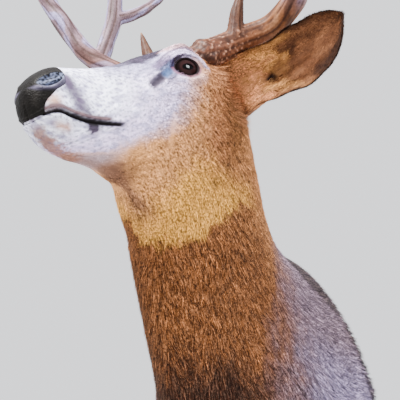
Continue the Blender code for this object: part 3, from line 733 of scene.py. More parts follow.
def eye_marks(colour, local, small):
    """Tear gland, blue-grey before the eye and dark at its end, with painted shadow above it; lilac
    upper lid with painted shade in its two creases, and dark lash colour with painted shade on the
    front of the upper lid; pink lower rim and black lid edge."""
    away, share = line_distance(local, GLAND)
    ahead_of = local[..., 0] > 0.0
    end = share + 0.03 * small
    ahead, up, outward, lid = eye_share(local)
    near = fade(-0.6, 0.2, outward)
    above = fade(-0.25, 0.25, up) * near
    lilac = fade(1.35, 1.5, lid) * fade(2.1, 1.95, lid) * fade(2.2, 1.2, ahead)
    return paint(
        colour,
        (MUZZLE_MAUVE * [1.0, 0.9, 1.1], 0.85 * bell(line_distance(local, GLAND_SHADOW)[0], 0.75, 4)),
        (GLAND_DARK, 0.80 * bell(away - 0.84, 0.20) * fade(0.66, 0.5, share) * ahead_of),
        (GLAND_BLUE * (1.0 + 0.5 * small)[..., None], bell(away, 0.80, 4) * ahead_of * fade(0.66, 0.52, end)),
        (GLAND_DARK, bell(away, 0.72, 4) * fade(0.50, 0.62, end)),
        (FACE_LILAC, 0.8 * above * lilac),
        # painted shade in the two creases above the upper lid
        (MUZZLE_MAUVE, 0.85 * above * bell(lid - 1.34, 0.13) * fade(-1.8, 0.2, ahead)),
        (MUZZLE_MAUVE, 0.90 * above * bell(lid - 2.15, 0.13) * fade(-2.2, -0.8, ahead)),
        # dark lash colour and painted shade on the front of the upper lid
        (GLAND_DARK * [1.0, 0.9, 1.5], 0.9 * above * fade(1.55, 1.30, lid) * fade(0.2, 0.7, ahead)),
        (LID_PINK, 0.85 * near * (up < 0.15) * bell(lid - 1.19, 0.09)),
        (LID_BLACK, near * fade(1.17, 1.08, lid + 0.02 * small)))


def markings(spot):
    """Colour of hide and coat at points of the room in cm, from soft masks with ragged borders: the
    coat's own markings, with painted sheen, light and shade among them.
    """
    local = to_head(spot)
    broad = ripple(spot, 7.0, 3)
    small = ripple(spot, 2.0, 4)
    fine = ripple(spot, 0.8, 5)
    rag = 0.50 * broad + 0.40 * small + 0.35 * fine
    colour = body_marks(spot, local, rag)
    colour = face_marks(colour, local, rag, ripple(spot, 0.42, 6))
    colour = eye_marks(colour, local, fine)
    scar = sum(blob(spot, place, size) for place, size in NECK_SCARS)
    colour = paint(colour, (NECK_DARK, 0.75 * scar * fade(-0.5, 0.4, rag + 0.5)))
    return colour * (1.0 + 0.06 * broad + 0.06 * small)[..., None]


# The grid of the skin: rings crowd round the eyes, columns round eye and mouth, and both are drawn
# together on the lid line, so that the lids are round. Its last ring lies under the nose leather.
SKIN_COLUMNS = 356
BODY_RINGS = 64
HEAD_RINGS = 204
TUCK = 0.22
eye_spot = find_on_hide([tuple(EYE_MIDDLE + EYE_OUT * EYE_SIZE[0])])[0]
body_at = np.linspace(0.0, JAW_AT, BODY_RINGS)
head_at = crowded(HEAD_RINGS, JAW_AT, NOSE_AT, 1.1, eye_spot[0], 2.6)
half_turn = crowded(SKIN_COLUMNS // 2 + 1, 0.0, math.pi, 1.1, 1.62, 0.42)
turn = np.concatenate([half_turn[:-1], 2.0 * math.pi - half_turn[:0:-1]])
edge_at = nose_edge(turn) + TUCK
base = np.concatenate([body_at, head_at[1:]])
kept = base[base < edge_at.mean()]
kept[-1] = edge_at.mean()
pull = fade(MUZZLE_AT, edge_at.mean(), kept)
skin_at = kept[:, None] + pull[:, None] * (edge_at - edge_at.mean())[None, :]
skin_turn = np.broadcast_to(turn, skin_at.shape).copy()


def eye_plain(at, angle):
    """Forward and up from the middle of the eye; the lids move the hide only across both."""
    return np.stack(eye_share(to_head(hide(at, angle)))[:2], axis=-1)


def crowd_lids(at, angle):
    """Draw grid points towards the lid line: their share r of the almond becomes
    1 + (r - 1)(1 - 0.72 exp(-((r - 1) / 0.42)^2)), turned back into length and angle."""
    small = 0.02
    for centre in (eye_spot, [eye_spot[0], 2.0 * math.pi - eye_spot[1]]):
        stepped = eye_plain(centre[0] + np.array([0.0, small, 0.0]), centre[1] + np.array([0.0, 0.0, small]))
        back = np.linalg.inv((stepped[1:] - stepped[0]).T / small)
        near = (np.abs(at - centre[0]) < 4.5) & (np.abs(angle - centre[1]) < 0.75)
        place = eye_plain(at[near], angle[near])
        share = lid_share(place[:, 0], place[:, 1])
        moved = 1.0 + (share - 1.0) * (1.0 - 0.72 * bell(share - 1.0, 0.42))
        step = place * (moved / share - 1.0)[:, None] @ back.T
        at[near] += step[:, 0]
        angle[near] += step[:, 1]


crowd_lids(skin_at, skin_turn)
tucked = coat_depth(skin_at, skin_turn) + 0.25 * fade(0.04, TUCK, skin_at - nose_edge(skin_turn))
skin_grid = hide(skin_at, skin_turn, tucked)
wall_pole = skin_grid[0].mean(axis=0)
nose_pole = skin_grid[-1].mean(axis=0) - FORWARD * 0.6
skin_points = np.concatenate([skin_grid.reshape(-1, 3), [wall_pole, nose_pole]])
# Painted shade under the coat: the skin darker where the hair is long, most on the body, none on the muzzle
shade_under_hair = np.interp(skin_at, [0.0, JAW_AT, BROW_AT, MUZZLE_AT], [0.50, 0.55, 0.90, 1.0])
shade_under_hair = np.concatenate([shade_under_hair.ravel(), [0.5, 1.0]])
skin_colours = markings(skin_points) * shade_under_hair[:, None]
around_cm = (math.pi - np.abs(math.pi - skin_turn)) / math.pi * np.interp(skin_at, LENGTHS, ROWS[:, 9] * 2.6)
hide_map = np.stack([skin_at.ravel(), around_cm.ravel()], axis=-1)
hide_map = np.concatenate([hide_map, [[0.0, 0.0], [NOSE_AT, 0.0]]])
skin = add_piece("skin", skin_points, closed_faces(*skin_at.shape), skin_colours, {"hide_map": hide_map})


def scaled(tree, colour, factor):
    """A colour times a number."""
    return add_node(tree, "VectorMath", {0: colour, "Scale": factor}, operation="SCALE").outputs[0]


def streak_group():
    """Node group of fine hair streaks: two stretched noises along a map in cm give a darker and
    lighter colour, a height for bump and a varying roughness."""
    group = bpy.data.node_groups.new("hair_streaks", "ShaderNodeTree")
    for label, kind, in_out in (("Colour", "Color", "INPUT"), ("Map", "Vector", "INPUT"),
                                ("Contrast", "Float", "INPUT"), ("Colour", "Color", "OUTPUT"),
                                ("Height", "Float", "OUTPUT"), ("Roughness", "Float", "OUTPUT")):
        group.interface.new_socket(name=label, in_out=in_out, socket_type="NodeSocket" + kind)
    into = group.nodes.new("NodeGroupInput").outputs
    sway = add_node(group, "TexNoise", {"Vector": into["Map"], "Scale": 0.6, "Detail": 1.0}).outputs["Color"]
    sway = add_node(group, "VectorMath", {0: sway, 1: (0.5, 0.5, 0.5)}, operation="MULTIPLY").outputs[0]
    bent = add_node(group, "VectorMath", {0: into["Map"], 1: sway}, operation="ADD").outputs[0]
    hairs = noise(group, stretched(group, bent, (1.6, 16.0, 1.0)), 1.0, 3.0, Roughness=0.65)
    clumps = noise(group, stretched(group, bent, (0.9, 4.5, 1.0)), 1.0, 2.0)
    both = maths(group, "ADD", hairs, clumps)
    swing = maths(group, "MULTIPLY", ranged(group, both, 0.65, 1.35, -1.0, 1.0), into["Contrast"])
    tinted = scaled(group, into["Colour"], maths(group, "ADD", swing, 1.0))
    feed(group.nodes.new("NodeGroupOutput"), {"Colour": tinted, "Height": both,
                                              "Roughness": ranged(group, both, 0.65, 1.35, 0.62, 0.88)})
    return group


HAIR_STREAKS = streak_group()


def markings_of(tree):
    """Output of the colours kept in the mesh."""
    return add_node(tree, "Attribute", attribute_name="coat_colour").outputs["Color"]


def hair_material(name, map_name, contrast, bump):
    """Short hair over hide: the painted markings, streaked along a map in cm, with fine relief."""
    made, tree, shader = new_material(name)
    streaks = add_node(tree, "Group", node_tree=HAIR_STREAKS)
    places = add_node(tree, "UVMap", uv_map=map_name).outputs["UV"]
    feed(streaks, {"Colour": markings_of(tree), "Map": places, "Contrast": contrast})
    feed(shader, {"Base Color": streaks.outputs["Colour"], "Roughness": streaks.outputs["Roughness"],
                  "Normal": relief(tree, streaks.outputs["Height"], bump, 0.0006),
                  "Specular IOR Level": 0.10, "Sheen Weight": 0.02, "Sheen Roughness": 0.5})
    return made


skin.data.materials.append(hair_material("hide_hair", "hide_map", 0.30, 0.6))
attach(skin, "root")
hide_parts("trunk", "neck", "head")

# ---------------------------------------------------------------- nose
# Bare leather of the nose and upper lip, painted a dull black by the taxidermist, with a pebbled
# front, rolled edges, and two comma-shaped nostrils, glossy on the mount: their gloss is painted in
# as a blue-grey reflection with light streaks, a duller grey-blue sheen below them, and painted
# shade in the slit of each opening.
NOSE_ROWS = 96
NOSE_COLUMNS = 230
NOSTRIL_AT = np.array([18.75, 2.75, -4.45])
NOSTRIL_OUT = unit(np.array([0.62, 0.78, 0.10]))
NOSTRIL_LONG = square_to(NOSTRIL_OUT, [-0.72, 0.50, 0.46])
NOSTRIL_WIDE = np.cross(NOSTRIL_OUT, NOSTRIL_LONG)
NOSTRIL_REACH = 1.62
NOSTRIL_HALF = 0.74
NOSE_BLACK = np.array([0.0040, 0.0034, 0.0030])
# Painted reflection of bluish light in the glossy nostrils
NOSTRIL_REFLECTION = np.array([0.150, 0.175, 0.270])
NOSE_LIFT = 0.06
NOSE_TUCKED = -0.07


def nostril_share(local):
    """1 on the rim of the comma: its middle line bends, and it narrows to the outer end."""
    away = local * near_side(local) - NOSTRIL_AT
    along = away @ NOSTRIL_LONG
    across = away @ NOSTRIL_WIDE - 0.16 * along**2
    half = NOSTRIL_HALF * (1.0 - 0.28 * np.clip(along / NOSTRIL_REACH, -1.0, 1.0))
    return np.sqrt((along / NOSTRIL_REACH) ** 2 + (across / half) ** 2), away @ NOSTRIL_OUT, across


def shape_nose(local):
    """Nostrils sunk inside a rolled rim, the wing, and the groove below the middle of the nose."""
    share, out, across = nostril_share(local)
    sink = 0.09 * bell(share - 1.18, 0.20) - 0.42 * fade(1.0, 0.55, share)
    sink -= 0.30 * bell(across + 0.30, 0.13) * fade(0.95, 0.7, share)
    moved = local + (sink * fade(-1.2, -0.4, out))[..., None] * NOSTRIL_OUT * near_side(local)
    groove = bell(local[..., 1], 0.10) * fade(-5.2, -6.4, local[..., 2]) * fade(18.0, 19.0, local[..., 0])
    moved[..., 0] -= 0.14 * groove
    return moved


t = np.linspace(0.0, 1.0, NOSE_ROWS)[:, None]
nose_turn = np.linspace(0.0, 2.0 * math.pi, NOSE_COLUMNS, endpoint=False)[None, :]
nose_at = nose_edge(nose_turn) * (1.0 - t) + (NOSE_AT - 0.02) * t
nose_turn = np.broadcast_to(nose_turn, nose_at.shape)
lift = NOSE_TUCKED + (NOSE_LIFT - NOSE_TUCKED) * fade(0.0, 0.08, t)
nose_cm = hide(nose_at, nose_turn, 0.03 - lift * np.ones_like(nose_at))
nose_grid = to_room(shape_nose(to_head(nose_cm)))
tip = nose_grid[-1].mean(axis=0) + FORWARD * 0.01
nose_points = np.concatenate([nose_grid.reshape(-1, 3), [nose_grid[0].mean(axis=0), tip]])
nose_local = to_head(nose_points)
share, out, across = nostril_share(nose_local)
# light streaks of painted glints in the nostrils' reflection
streaks = 0.42 + 0.42 * ripple(nose_points, 0.33, 8)
streaks += 0.34 * np.sin(across * 15.0 + 2.4 * ripple(nose_points, 1.2, 9))
below = fade(1.75, 1.25, share) * fade(-0.1, -0.5, across) * fade(-5.9, -5.2, nose_local[:, 2])
leather = paint(np.ones((len(nose_points), 3)) * NOSE_BLACK,
                # duller painted sheen below each nostril, and the painted reflection inside its rim
                (NOSTRIL_REFLECTION * [0.55, 0.42, 0.42], 0.8 * below),
                (NOSTRIL_REFLECTION, fade(1.06, 0.84, share) * np.clip(streaks, 0.05, 1.3)),
                # painted shade in the slit of each nostril's opening
                (LIP_BLACK, 0.8 * bell(across + 0.32, 0.12) * fade(1.0, 0.8, share)))
nose = add_piece("nose_leather", nose_points, closed_faces(NOSE_ROWS, NOSE_COLUMNS), leather)

hide_leather, tree, shader = new_material("nose_leather")
place = places_of(tree)
pebbles = add_node(tree, "TexVoronoi", {"Vector": place, "Scale": 520.0}, feature="SMOOTH_F1")
dust = noise(tree, place, 90.0, 5.0)
feed(shader, {"Base Color": scaled(tree, markings_of(tree), ranged(tree, dust, 0.35, 0.75, 0.7, 1.8)),
              "Roughness": ranged(tree, dust, 0.3, 0.7, 0.36, 0.55), "Specular IOR Level": 0.06,
              "Normal": relief(tree, pebbles.outputs["Distance"], 0.6, 0.0008, invert=True)})
nose.data.materials.append(hide_leather)
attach(nose, "root")
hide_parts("nose")

# ---------------------------------------------------------------- eyes
# Glass eyes set in clay under the lids: a flattened dark brown ball, painted behind the glass with
# an iris of fine rays and a wide oval pupil, under a clear polished surface.
EYE_ROWS = 60
EYE_COLUMNS = 96
IRIS_BROWN = np.array([0.014, 0.0055, 0.0055])
IRIS_RIM = np.array([0.004, 0.002, 0.002])
PUPIL = np.array([0.0010, 0.0008, 0.0010])
eye_glass, tree, shader = new_material("eye_glass")
flecks = ranged(tree, noise(tree, places_of(tree), 700.0, 3.0), 0.0, 1.0, 0.6, 1.4)
feed(shader, {"Base Color": scaled(tree, markings_of(tree), flecks), "Roughness": 0.35,
              "Specular IOR Level": 0.0, "Coat Weight": 0.25, "Coat IOR": 1.33, "Coat Roughness": 0.04})
lean = np.linspace(0.0, math.pi, EYE_ROWS)[1:-1, None]
spin = np.linspace(0.0, 2.0 * math.pi, EYE_COLUMNS, endpoint=False)[None, :]
ball = [np.sin(lean) * np.cos(spin), np.sin(lean) * np.sin(spin), np.cos(lean) + 0.0 * spin]
ball = np.concatenate([np.stack(ball, axis=-1).reshape(-1, 3), [[0.0, 0.0, 1.0], [0.0, 0.0, -1.0]]])
ball = ball * EYE_SIZE[[1, 2, 0]]
rays = 0.5 + 0.5 * np.sin(np.arctan2(ball[:, 1], ball[:, 0]) * 46.0 + 3.0 * np.sin(ball[:, 0] * 9.0))
from_middle = np.hypot(ball[:, 0] / 1.25, ball[:, 1] / 1.05)
oval_share = np.hypot(ball[:, 0] / 0.78, ball[:, 1] / 0.42)
glass_colour = paint(IRIS_BROWN * (0.8 + 0.5 * rays)[:, None], (IRIS_RIM, fade(0.75, 1.0, from_middle)),
                     (PUPIL, fade(1.08, 0.92, oval_share)))
ball = EYE_MIDDLE + ball @ np.array([EYE_AHEAD, EYE_UP, EYE_OUT])
for side, sign in (("left", 1.0), ("right", -1.0)):
    eye = add_piece("glass_eye_" + side, to_room(ball * [1.0, sign, 1.0]),
                    closed_faces(EYE_ROWS - 2, EYE_COLUMNS, sign > 0), glass_colour)
    eye.data.materials.append(eye_glass)
    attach(eye, "root")
    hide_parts("eye_" + side)

# ---------------------------------------------------------------- ears
# Tanned ear skins over thin liners: cupped shells with ridges of gristle inside, turned out a
# little at the rims, short hair on the back, long pale hair inside the base and dark edges.
EAR_LENGTH = 19.0
EAR_ALONG = unit(np.array([0.10, 0.96, 0.11]))
EAR_OPEN = square_to(EAR_ALONG, [0.95, -0.10, -0.30])
EAR_BASE = np.array([-9.8, 4.2, 0.5])
EAR_SHARE = np.array([-0.14, 0.0, 0.16, 0.32, 0.48, 0.66, 0.82, 0.94, 1.0])
EAR_UPPER = np.array([3.9, 4.0, 3.7, 3.1, 2.8, 2.6, 2.0, 1.1, 0.2])
EAR_LOWER = np.array([4.0, 3.6, 3.3, 3.7, 4.3, 4.5, 3.7, 2.0, 0.3])
EAR_CUP = np.array([0.4, 1.0, 1.9, 2.2, 1.9, 1.3, 0.8, 0.35, 0.1])
EAR_THICK = np.array([3.4, 3.0, 2.3, 1.1, 0.75, 0.65, 0.6, 0.5, 0.3])
EAR_ROWS = 116
EAR_ACROSS = 72
EAR_TAN = np.array([0.135, 0.055, 0.023])
EAR_BROWN = np.array([0.092, 0.035, 0.014])
EAR_DARK = np.array([0.018, 0.007, 0.004])
EAR_CREAM = np.array([0.940, 0.440, 0.130])
# Tan of the ear's root, painted lighter as painted light in the shade of the head
EAR_ROOT_TAN_AND_LIGHT = np.array([0.700, 0.290, 0.120])
# Ridges of gristle inside the ear: place across it, height in cm, width
EAR_RIDGES = ((-0.52, 0.30, 0.10), (-0.18, 0.34, 0.09), (0.12, 0.30, 0.08), (0.46, 0.24, 0.10))
EAR_HOLLOW = (0.255, -0.13)


def ear_shape(share, across, face):
    """Point of an ear in cm of the head: share runs from base to tip, across from the lower to the
    upper edge (-1 to 1), face is 0 on the inner side and 1 on the back. A cosine cup that opens
    forward, with gristle ridges and a wavy rim."""
    table = np.stack([EAR_UPPER, EAR_LOWER, EAR_CUP, EAR_THICK], axis=1)
    upper, lower, cup, thick = smooth_table(EAR_SHARE, table, share.ravel()).T.reshape(4, *share.shape)
    quarter = across * math.pi / 2.0
    wide = np.where(across > 0, upper, lower) * np.sin(quarter)
    wide = wide + 0.10 * np.sin(share * 23.0 + 1.0) * np.sin(quarter) ** 3 * np.sin(share * math.pi)
    body = np.cos(quarter)
    deep = cup * body + face * (thick - 0.12) * np.sqrt(np.maximum(body, 0.0)) + 0.06
    inside = (1.0 - face) * np.sin(np.clip(share * 1.2, 0.0, 1.0) * math.pi)
    for line, height, width in EAR_RIDGES:
        deep = deep - inside * height * bell(across - line * (1.0 - 0.45 * share), width)
    rim = bell(np.abs(across) - 0.97, 0.07) * np.sin(np.clip(share, 0.0, 1.0) * math.pi)
    deep = deep + (1.0 - face) * (0.10 * rim + 0.55 * oval(share, across, EAR_HOLLOW, (0.035, 0.11)))
    bend = 1.56 * share**2
    upward = np.cross(EAR_OPEN, EAR_ALONG)
    points = EAR_BASE + EAR_ALONG * (share * EAR_LENGTH)[..., None] + upward * (wide + bend * 0.4)[..., None]
    return points - EAR_OPEN * (deep - bend * 0.5)[..., None]


def oval(share, across, middle, reach):
    """Soft oval mask on the ear."""
    return np.exp(-(((share - middle[0]) / reach[0]) ** 2) - ((across - middle[1]) / reach[1]) ** 2)


def ear_marks(share, across, face, spot):
    """Colour of an ear: inside brown with dark mottling, a cream patch behind the opening, a cream
    lower edge, dark rims and tip, dark hair with painted shade at the lower edge of the root where
    it meets the neck, and painted shade as a black hollow in the opening; behind tan; both root in
    the tan of the cheek, painted lighter as painted light in the shade of the head."""
    mottle = ripple(spot, 2.4, 21)
    small = ripple(spot, 0.7, 22)
    rag = 0.10 * mottle + 0.05 * small
    ragged = share + rag
    inner = face < 0.5
    lower = -0.30 - 1.50 * np.clip(share - 0.22, 0.0, None)
    edge = fade(0.20, 0.04, np.abs(across - lower + 0.8 * rag)) * fade(0.12, 0.2, share)
    cream = 1.15 * oval(ragged, across, (0.27, 0.40), (0.085, 0.36))
    cream += 0.4 * oval(ragged, across, (0.45, 0.70), (0.12, 0.14))
    cream += edge * np.interp(share, [0.2, 0.30, 0.42, 0.60], [0.50, 0.34, 0.16, 0.04])
    both_rims = fade(0.72, 0.95, np.abs(across) + 0.8 * rag)
    rims = (0.92 * both_rims * fade(0.30, 0.62, ragged + 0.12 * (across < 0)),
            0.92 * fade(0.34, 0.52, -across + 0.5 * rag) * fade(0.58, 0.70, share + 0.4 * rag),
            0.69 * fade(0.42, 0.75, across + 0.5 * rag) * fade(0.42, 0.62, share + 0.5 * rag),
            # dark hair with painted shade at the lower edge of the root, where the ear meets the neck
            0.736 * fade(-0.55, -0.80, across) * fade(0.16, 0.06, ragged),
            0.9 * fade(0.86, 0.97, share + 0.6 * rag))
    colour = paint(
        np.ones((*share.shape, 3)) * np.where(inner[..., None], EAR_BROWN, EAR_TAN),
        (EAR_TAN * 1.4, 0.85 * inner * np.clip(1.3 * mottle + 0.25, 0.0, 1.0)),
        (EAR_TAN * 1.6, 0.7 * inner * oval(ragged, across, (0.62, 0.55), (0.10, 0.30))),
        (EAR_DARK * 2.0, 0.80 * inner * oval(ragged, across, (0.50, 0.20), (0.09, 0.20))),
        (EAR_DARK * 2.0, 0.45 * inner * np.clip(1.6 * small + 0.8 * mottle - 0.7, 0.0, 1.0)),
        (EAR_CREAM, inner * cream),
        # tan root, painted lighter as painted light in the shade of the head
        (EAR_ROOT_TAN_AND_LIGHT, fade(0.24, 0.08, ragged)),
        (EAR_DARK, np.max(rims, axis=0)),
        # painted shade: the hollow of the ear's opening painted nearly black
        (EAR_DARK * 0.4, inner * 1.3 * oval(share, across, (0.26, -0.13), (0.055, 0.12))))
    return colour * (1.0 + 0.16 * small)[..., None]


ear_hair = hair_material("ear_hair", "ear_map", 0.28, 0.7)
share = np.linspace(EAR_SHARE[0], 1.0, EAR_ROWS)[:, None]
back_across = np.sin(np.linspace(-math.pi / 2, math.pi / 2, EAR_ACROSS))
ring_across = np.concatenate([back_across, back_across[-2:0:-1]])[None, :]
ring_face = np.concatenate([np.ones(EAR_ACROSS), np.zeros(EAR_ACROSS - 2)])[None, :]
ear_share, ear_across, ear_face = np.broadcast_arrays(share, ring_across, ring_face)
around_cm = np.where(ear_face > 0.5, ear_across * 6.0, 13.0 - ear_across * 6.0)
ear_map = np.stack([ear_share.ravel() * EAR_LENGTH, around_cm.ravel()], axis=-1)
ear_map = np.concatenate([ear_map, [[0.0, 0.0], [EAR_LENGTH, 0.0]]])
for side, sign in (("left", 1.0), ("right", -1.0)):
    shell = to_room(ear_shape(ear_share, ear_across, ear_face) * [1.0, sign, 1.0])
    points = np.concatenate([shell.reshape(-1, 3), shell[[0, -1]].mean(axis=1)])
    colour = ear_marks(ear_share, ear_across, ear_face, shell).reshape(-1, 3)
    colour = np.concatenate([colour, [EAR_ROOT_TAN_AND_LIGHT, EAR_DARK]])
    ear = add_piece("ear_skin_" + side, points, closed_faces(*ear_share.shape, sign > 0), colour,
                    {"ear_map": ear_map})
    ear.data.materials.append(ear_hair)
    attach(ear, "root")
    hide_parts("ear_" + side)
# ---------------------------------------------------------------- antlers
# Real antlers screwed to the form through their skull plate: brown, rough and pearled near the
# burr, grooved lengthways, smoother and paler to the tips, with a painted bluish highlight along the
# upper beam and tines. Tubes along the beam and its tines are fused and smoothed at the forks, then
# the surface is worked by numbers.
BEAM = [(-3.3, 2.6, 3.0), (-5.4, 4.0, 4.3), (-8.6, 6.5, 6.1), (-11.6, 10.6, 7.9), (-11.1, 14.8, 9.8),
        (-7.9, 18.1, 12.7), (-5.5, 20.5, 17.6), (-3.7, 22.6, 23.0), (-2.3, 24.4, 29.5),
        (-0.6, 25.4, 36.3), (2.0, 25.0, 42.8), (5.8, 23.2, 48.0)]
BEAM_RADII = [1.65, 1.8, 1.75, 1.55, 1.5, 1.45, 1.3, 1.25, 1.15, 0.95, 0.7, 0.2]
BROW_TINE = [(-8.2, 6.9, 6.2), (-8.2, 7.6, 9.0), (-8.4, 8.3, 11.4), (-8.6, 9.0, 13.7)]
BROW_RADII = [1.2, 0.9, 0.6, 0.15]
FRONT_TINE = [(-2.5, 24.2, 28.8), (-4.2, 25.8, 33.0), (-6.0, 26.8, 38.0), (-6.8, 26.8, 43.5)]
FRONT_RADII = [1.05, 0.95, 0.75, 0.18]
REAR_STEM = [(-8.8, 17.6, 12.0), (-10.1, 17.4, 15.3), (-11.7, 17.0, 19.4), (-12.6, 17.0, 25.0),
             (-12.6, 17.4, 31.5), (-11.2, 17.6, 38.0)]
REAR_RADII = [1.25, 1.2, 1.25, 1.05, 0.8, 0.2]
REAR_TINE = [(-11.7, 17.0, 19.6), (-15.8, 14.2, 21.6), (-19.0, 12.8, 25.0), (-20.4, 12.6, 30.0)]
REAR_TINE_RADII = [1.0, 0.82, 0.62, 0.16]
BURR = (1.0, 0.5, 0.2)
TUBE_SIDES = 28
TUBE_RINGS = 14
ANTLER_GRAIN = 0.00175
SMOOTHINGS = 9
POINTS_AT_ONCE = 8000
PEARL_REACH = 13.0
ANTLER_BROWN = np.array([0.175, 0.066, 0.024])
ANTLER_RED = np.array([0.108, 0.036, 0.021])
ANTLER_GREY = np.array([0.165, 0.115, 0.150])
ANTLER_PALE = np.array([0.360, 0.200, 0.110])
# Painted bluish highlight of the upper beam and tines
ANTLER_HIGHLIGHT_BLUE = np.array([0.270, 0.260, 0.480])
ANTLER_GROOVE = np.array([0.030, 0.013, 0.009])
# How much the way left to the tip counts for on each run, beam first
TIP_SHARES = (1.0, 4.5, 1.4, 1.4, 1.6)
# How far the grain of each run is shifted from that of the beam, in cm
TUBE_OFFSETS = (0.0, 9.0, 50.0, 28.0, 36.0)


def smooth_run(points, count):
    """Evenly spaced points of a smooth run through some points, the knots passed, and the way."""
    points = np.asarray(points, float)
    knots = np.concatenate([[0.0], np.cumsum(np.linalg.norm(np.diff(points, axis=0), axis=1))])
    at = np.linspace(0.0, knots[-1], count)
    return smooth_table(knots, points, at), np.interp(at, knots, np.arange(len(knots))), at


def antler_tube(points, radii, burr=None):
    """Round rod along a smooth run: centre plus radius times cosine and sine of the turn, which
    starts square to a fixed axis. Also its path, radius, way and the two directions across it."""
    path, passed, at = smooth_run(points, len(points) * TUBE_RINGS)
    radius = np.interp(passed, np.arange(len(radii)), radii)
    if burr is not None:
        radius = radius + burr[1] * bell(passed - burr[0], burr[2])
    along = unit(np.gradient(path, axis=0))
    first = unit(np.cross(along, np.array([0.35, -0.2, 0.3])))
    second = np.cross(along, first)
    spin = np.linspace(0.0, 2.0 * math.pi, TUBE_SIDES, endpoint=False)[None, :, None]
    circle = np.cos(spin) * first[:, None] + np.sin(spin) * second[:, None]
    grid = path[:, None] + radius[:, None, None] * circle
    points = np.concatenate([grid.reshape(-1, 3), path[[0, -1]]])
    return points, closed_faces(*grid.shape[:2]), path, radius, at, first, second


def fused(name, tubes, sign):
    """One closed mesh of overlapping tubes: joined, remeshed into small cells and smoothed."""
    starts = np.cumsum([0] + [len(tube[0]) for tube in tubes])
    faces = [f + start for tube, start in zip(tubes, starts) for f in tube[1]]
    if sign > 0:
        faces = [f[:, ::-1] for f in faces]
    points = to_room(np.concatenate([tube[0] for tube in tubes]) * [1.0, sign, 1.0])
    rough = add_piece(name, points, faces)
    remesh = rough.modifiers.new("fuse", "REMESH")
    remesh.mode = "VOXEL"
    remesh.voxel_size = ANTLER_GRAIN
    smooth = rough.modifiers.new("smooth", "SMOOTH")
    smooth.factor = 0.5
    smooth.iterations = SMOOTHINGS
    graph = bpy.context.evaluated_depsgraph_get()
    graph.update()
    rough.data = bpy.data.meshes.new_from_object(rough.evaluated_get(graph))
    rough.modifiers.clear()
    return rough


def nearest_run(local, tubes):
    """For each point: distance along its nearest tube and left to its tip, turn round it, outward
    direction and the number of the tube."""
    paths, radii, ats, firsts, seconds = list(zip(*tubes))[2:]
    radius = np.concatenate(radii)
    at = np.concatenate([way + offset for way, offset in zip(ats, TUBE_OFFSETS)])
    left = np.concatenate([(way[-1] - way) * share for way, share in zip(ats, TIP_SHARES)])
    number = np.repeat(np.arange(len(tubes)), [len(way) for way in ats])
    paths = np.concatenate(paths)
    chosen = np.zeros(len(local), int)
    for low in range(0, len(local), POINTS_AT_ONCE):
        part = local[low:low + POINTS_AT_ONCE]
        squared = (part**2).sum(1)[:, None] + (paths**2).sum(1)[None] - 2.0 * part @ paths.T
        chosen[low:low + POINTS_AT_ONCE] = np.argmin(np.sqrt(np.maximum(squared, 0.0)) - radius[None], axis=1)
    away = local - paths[chosen]
    across = [(away * np.concatenate(axes)[chosen]).sum(1) for axes in (seconds, firsts)]
    return at[chosen], left[chosen], np.arctan2(*across), unit(away), number[chosen]


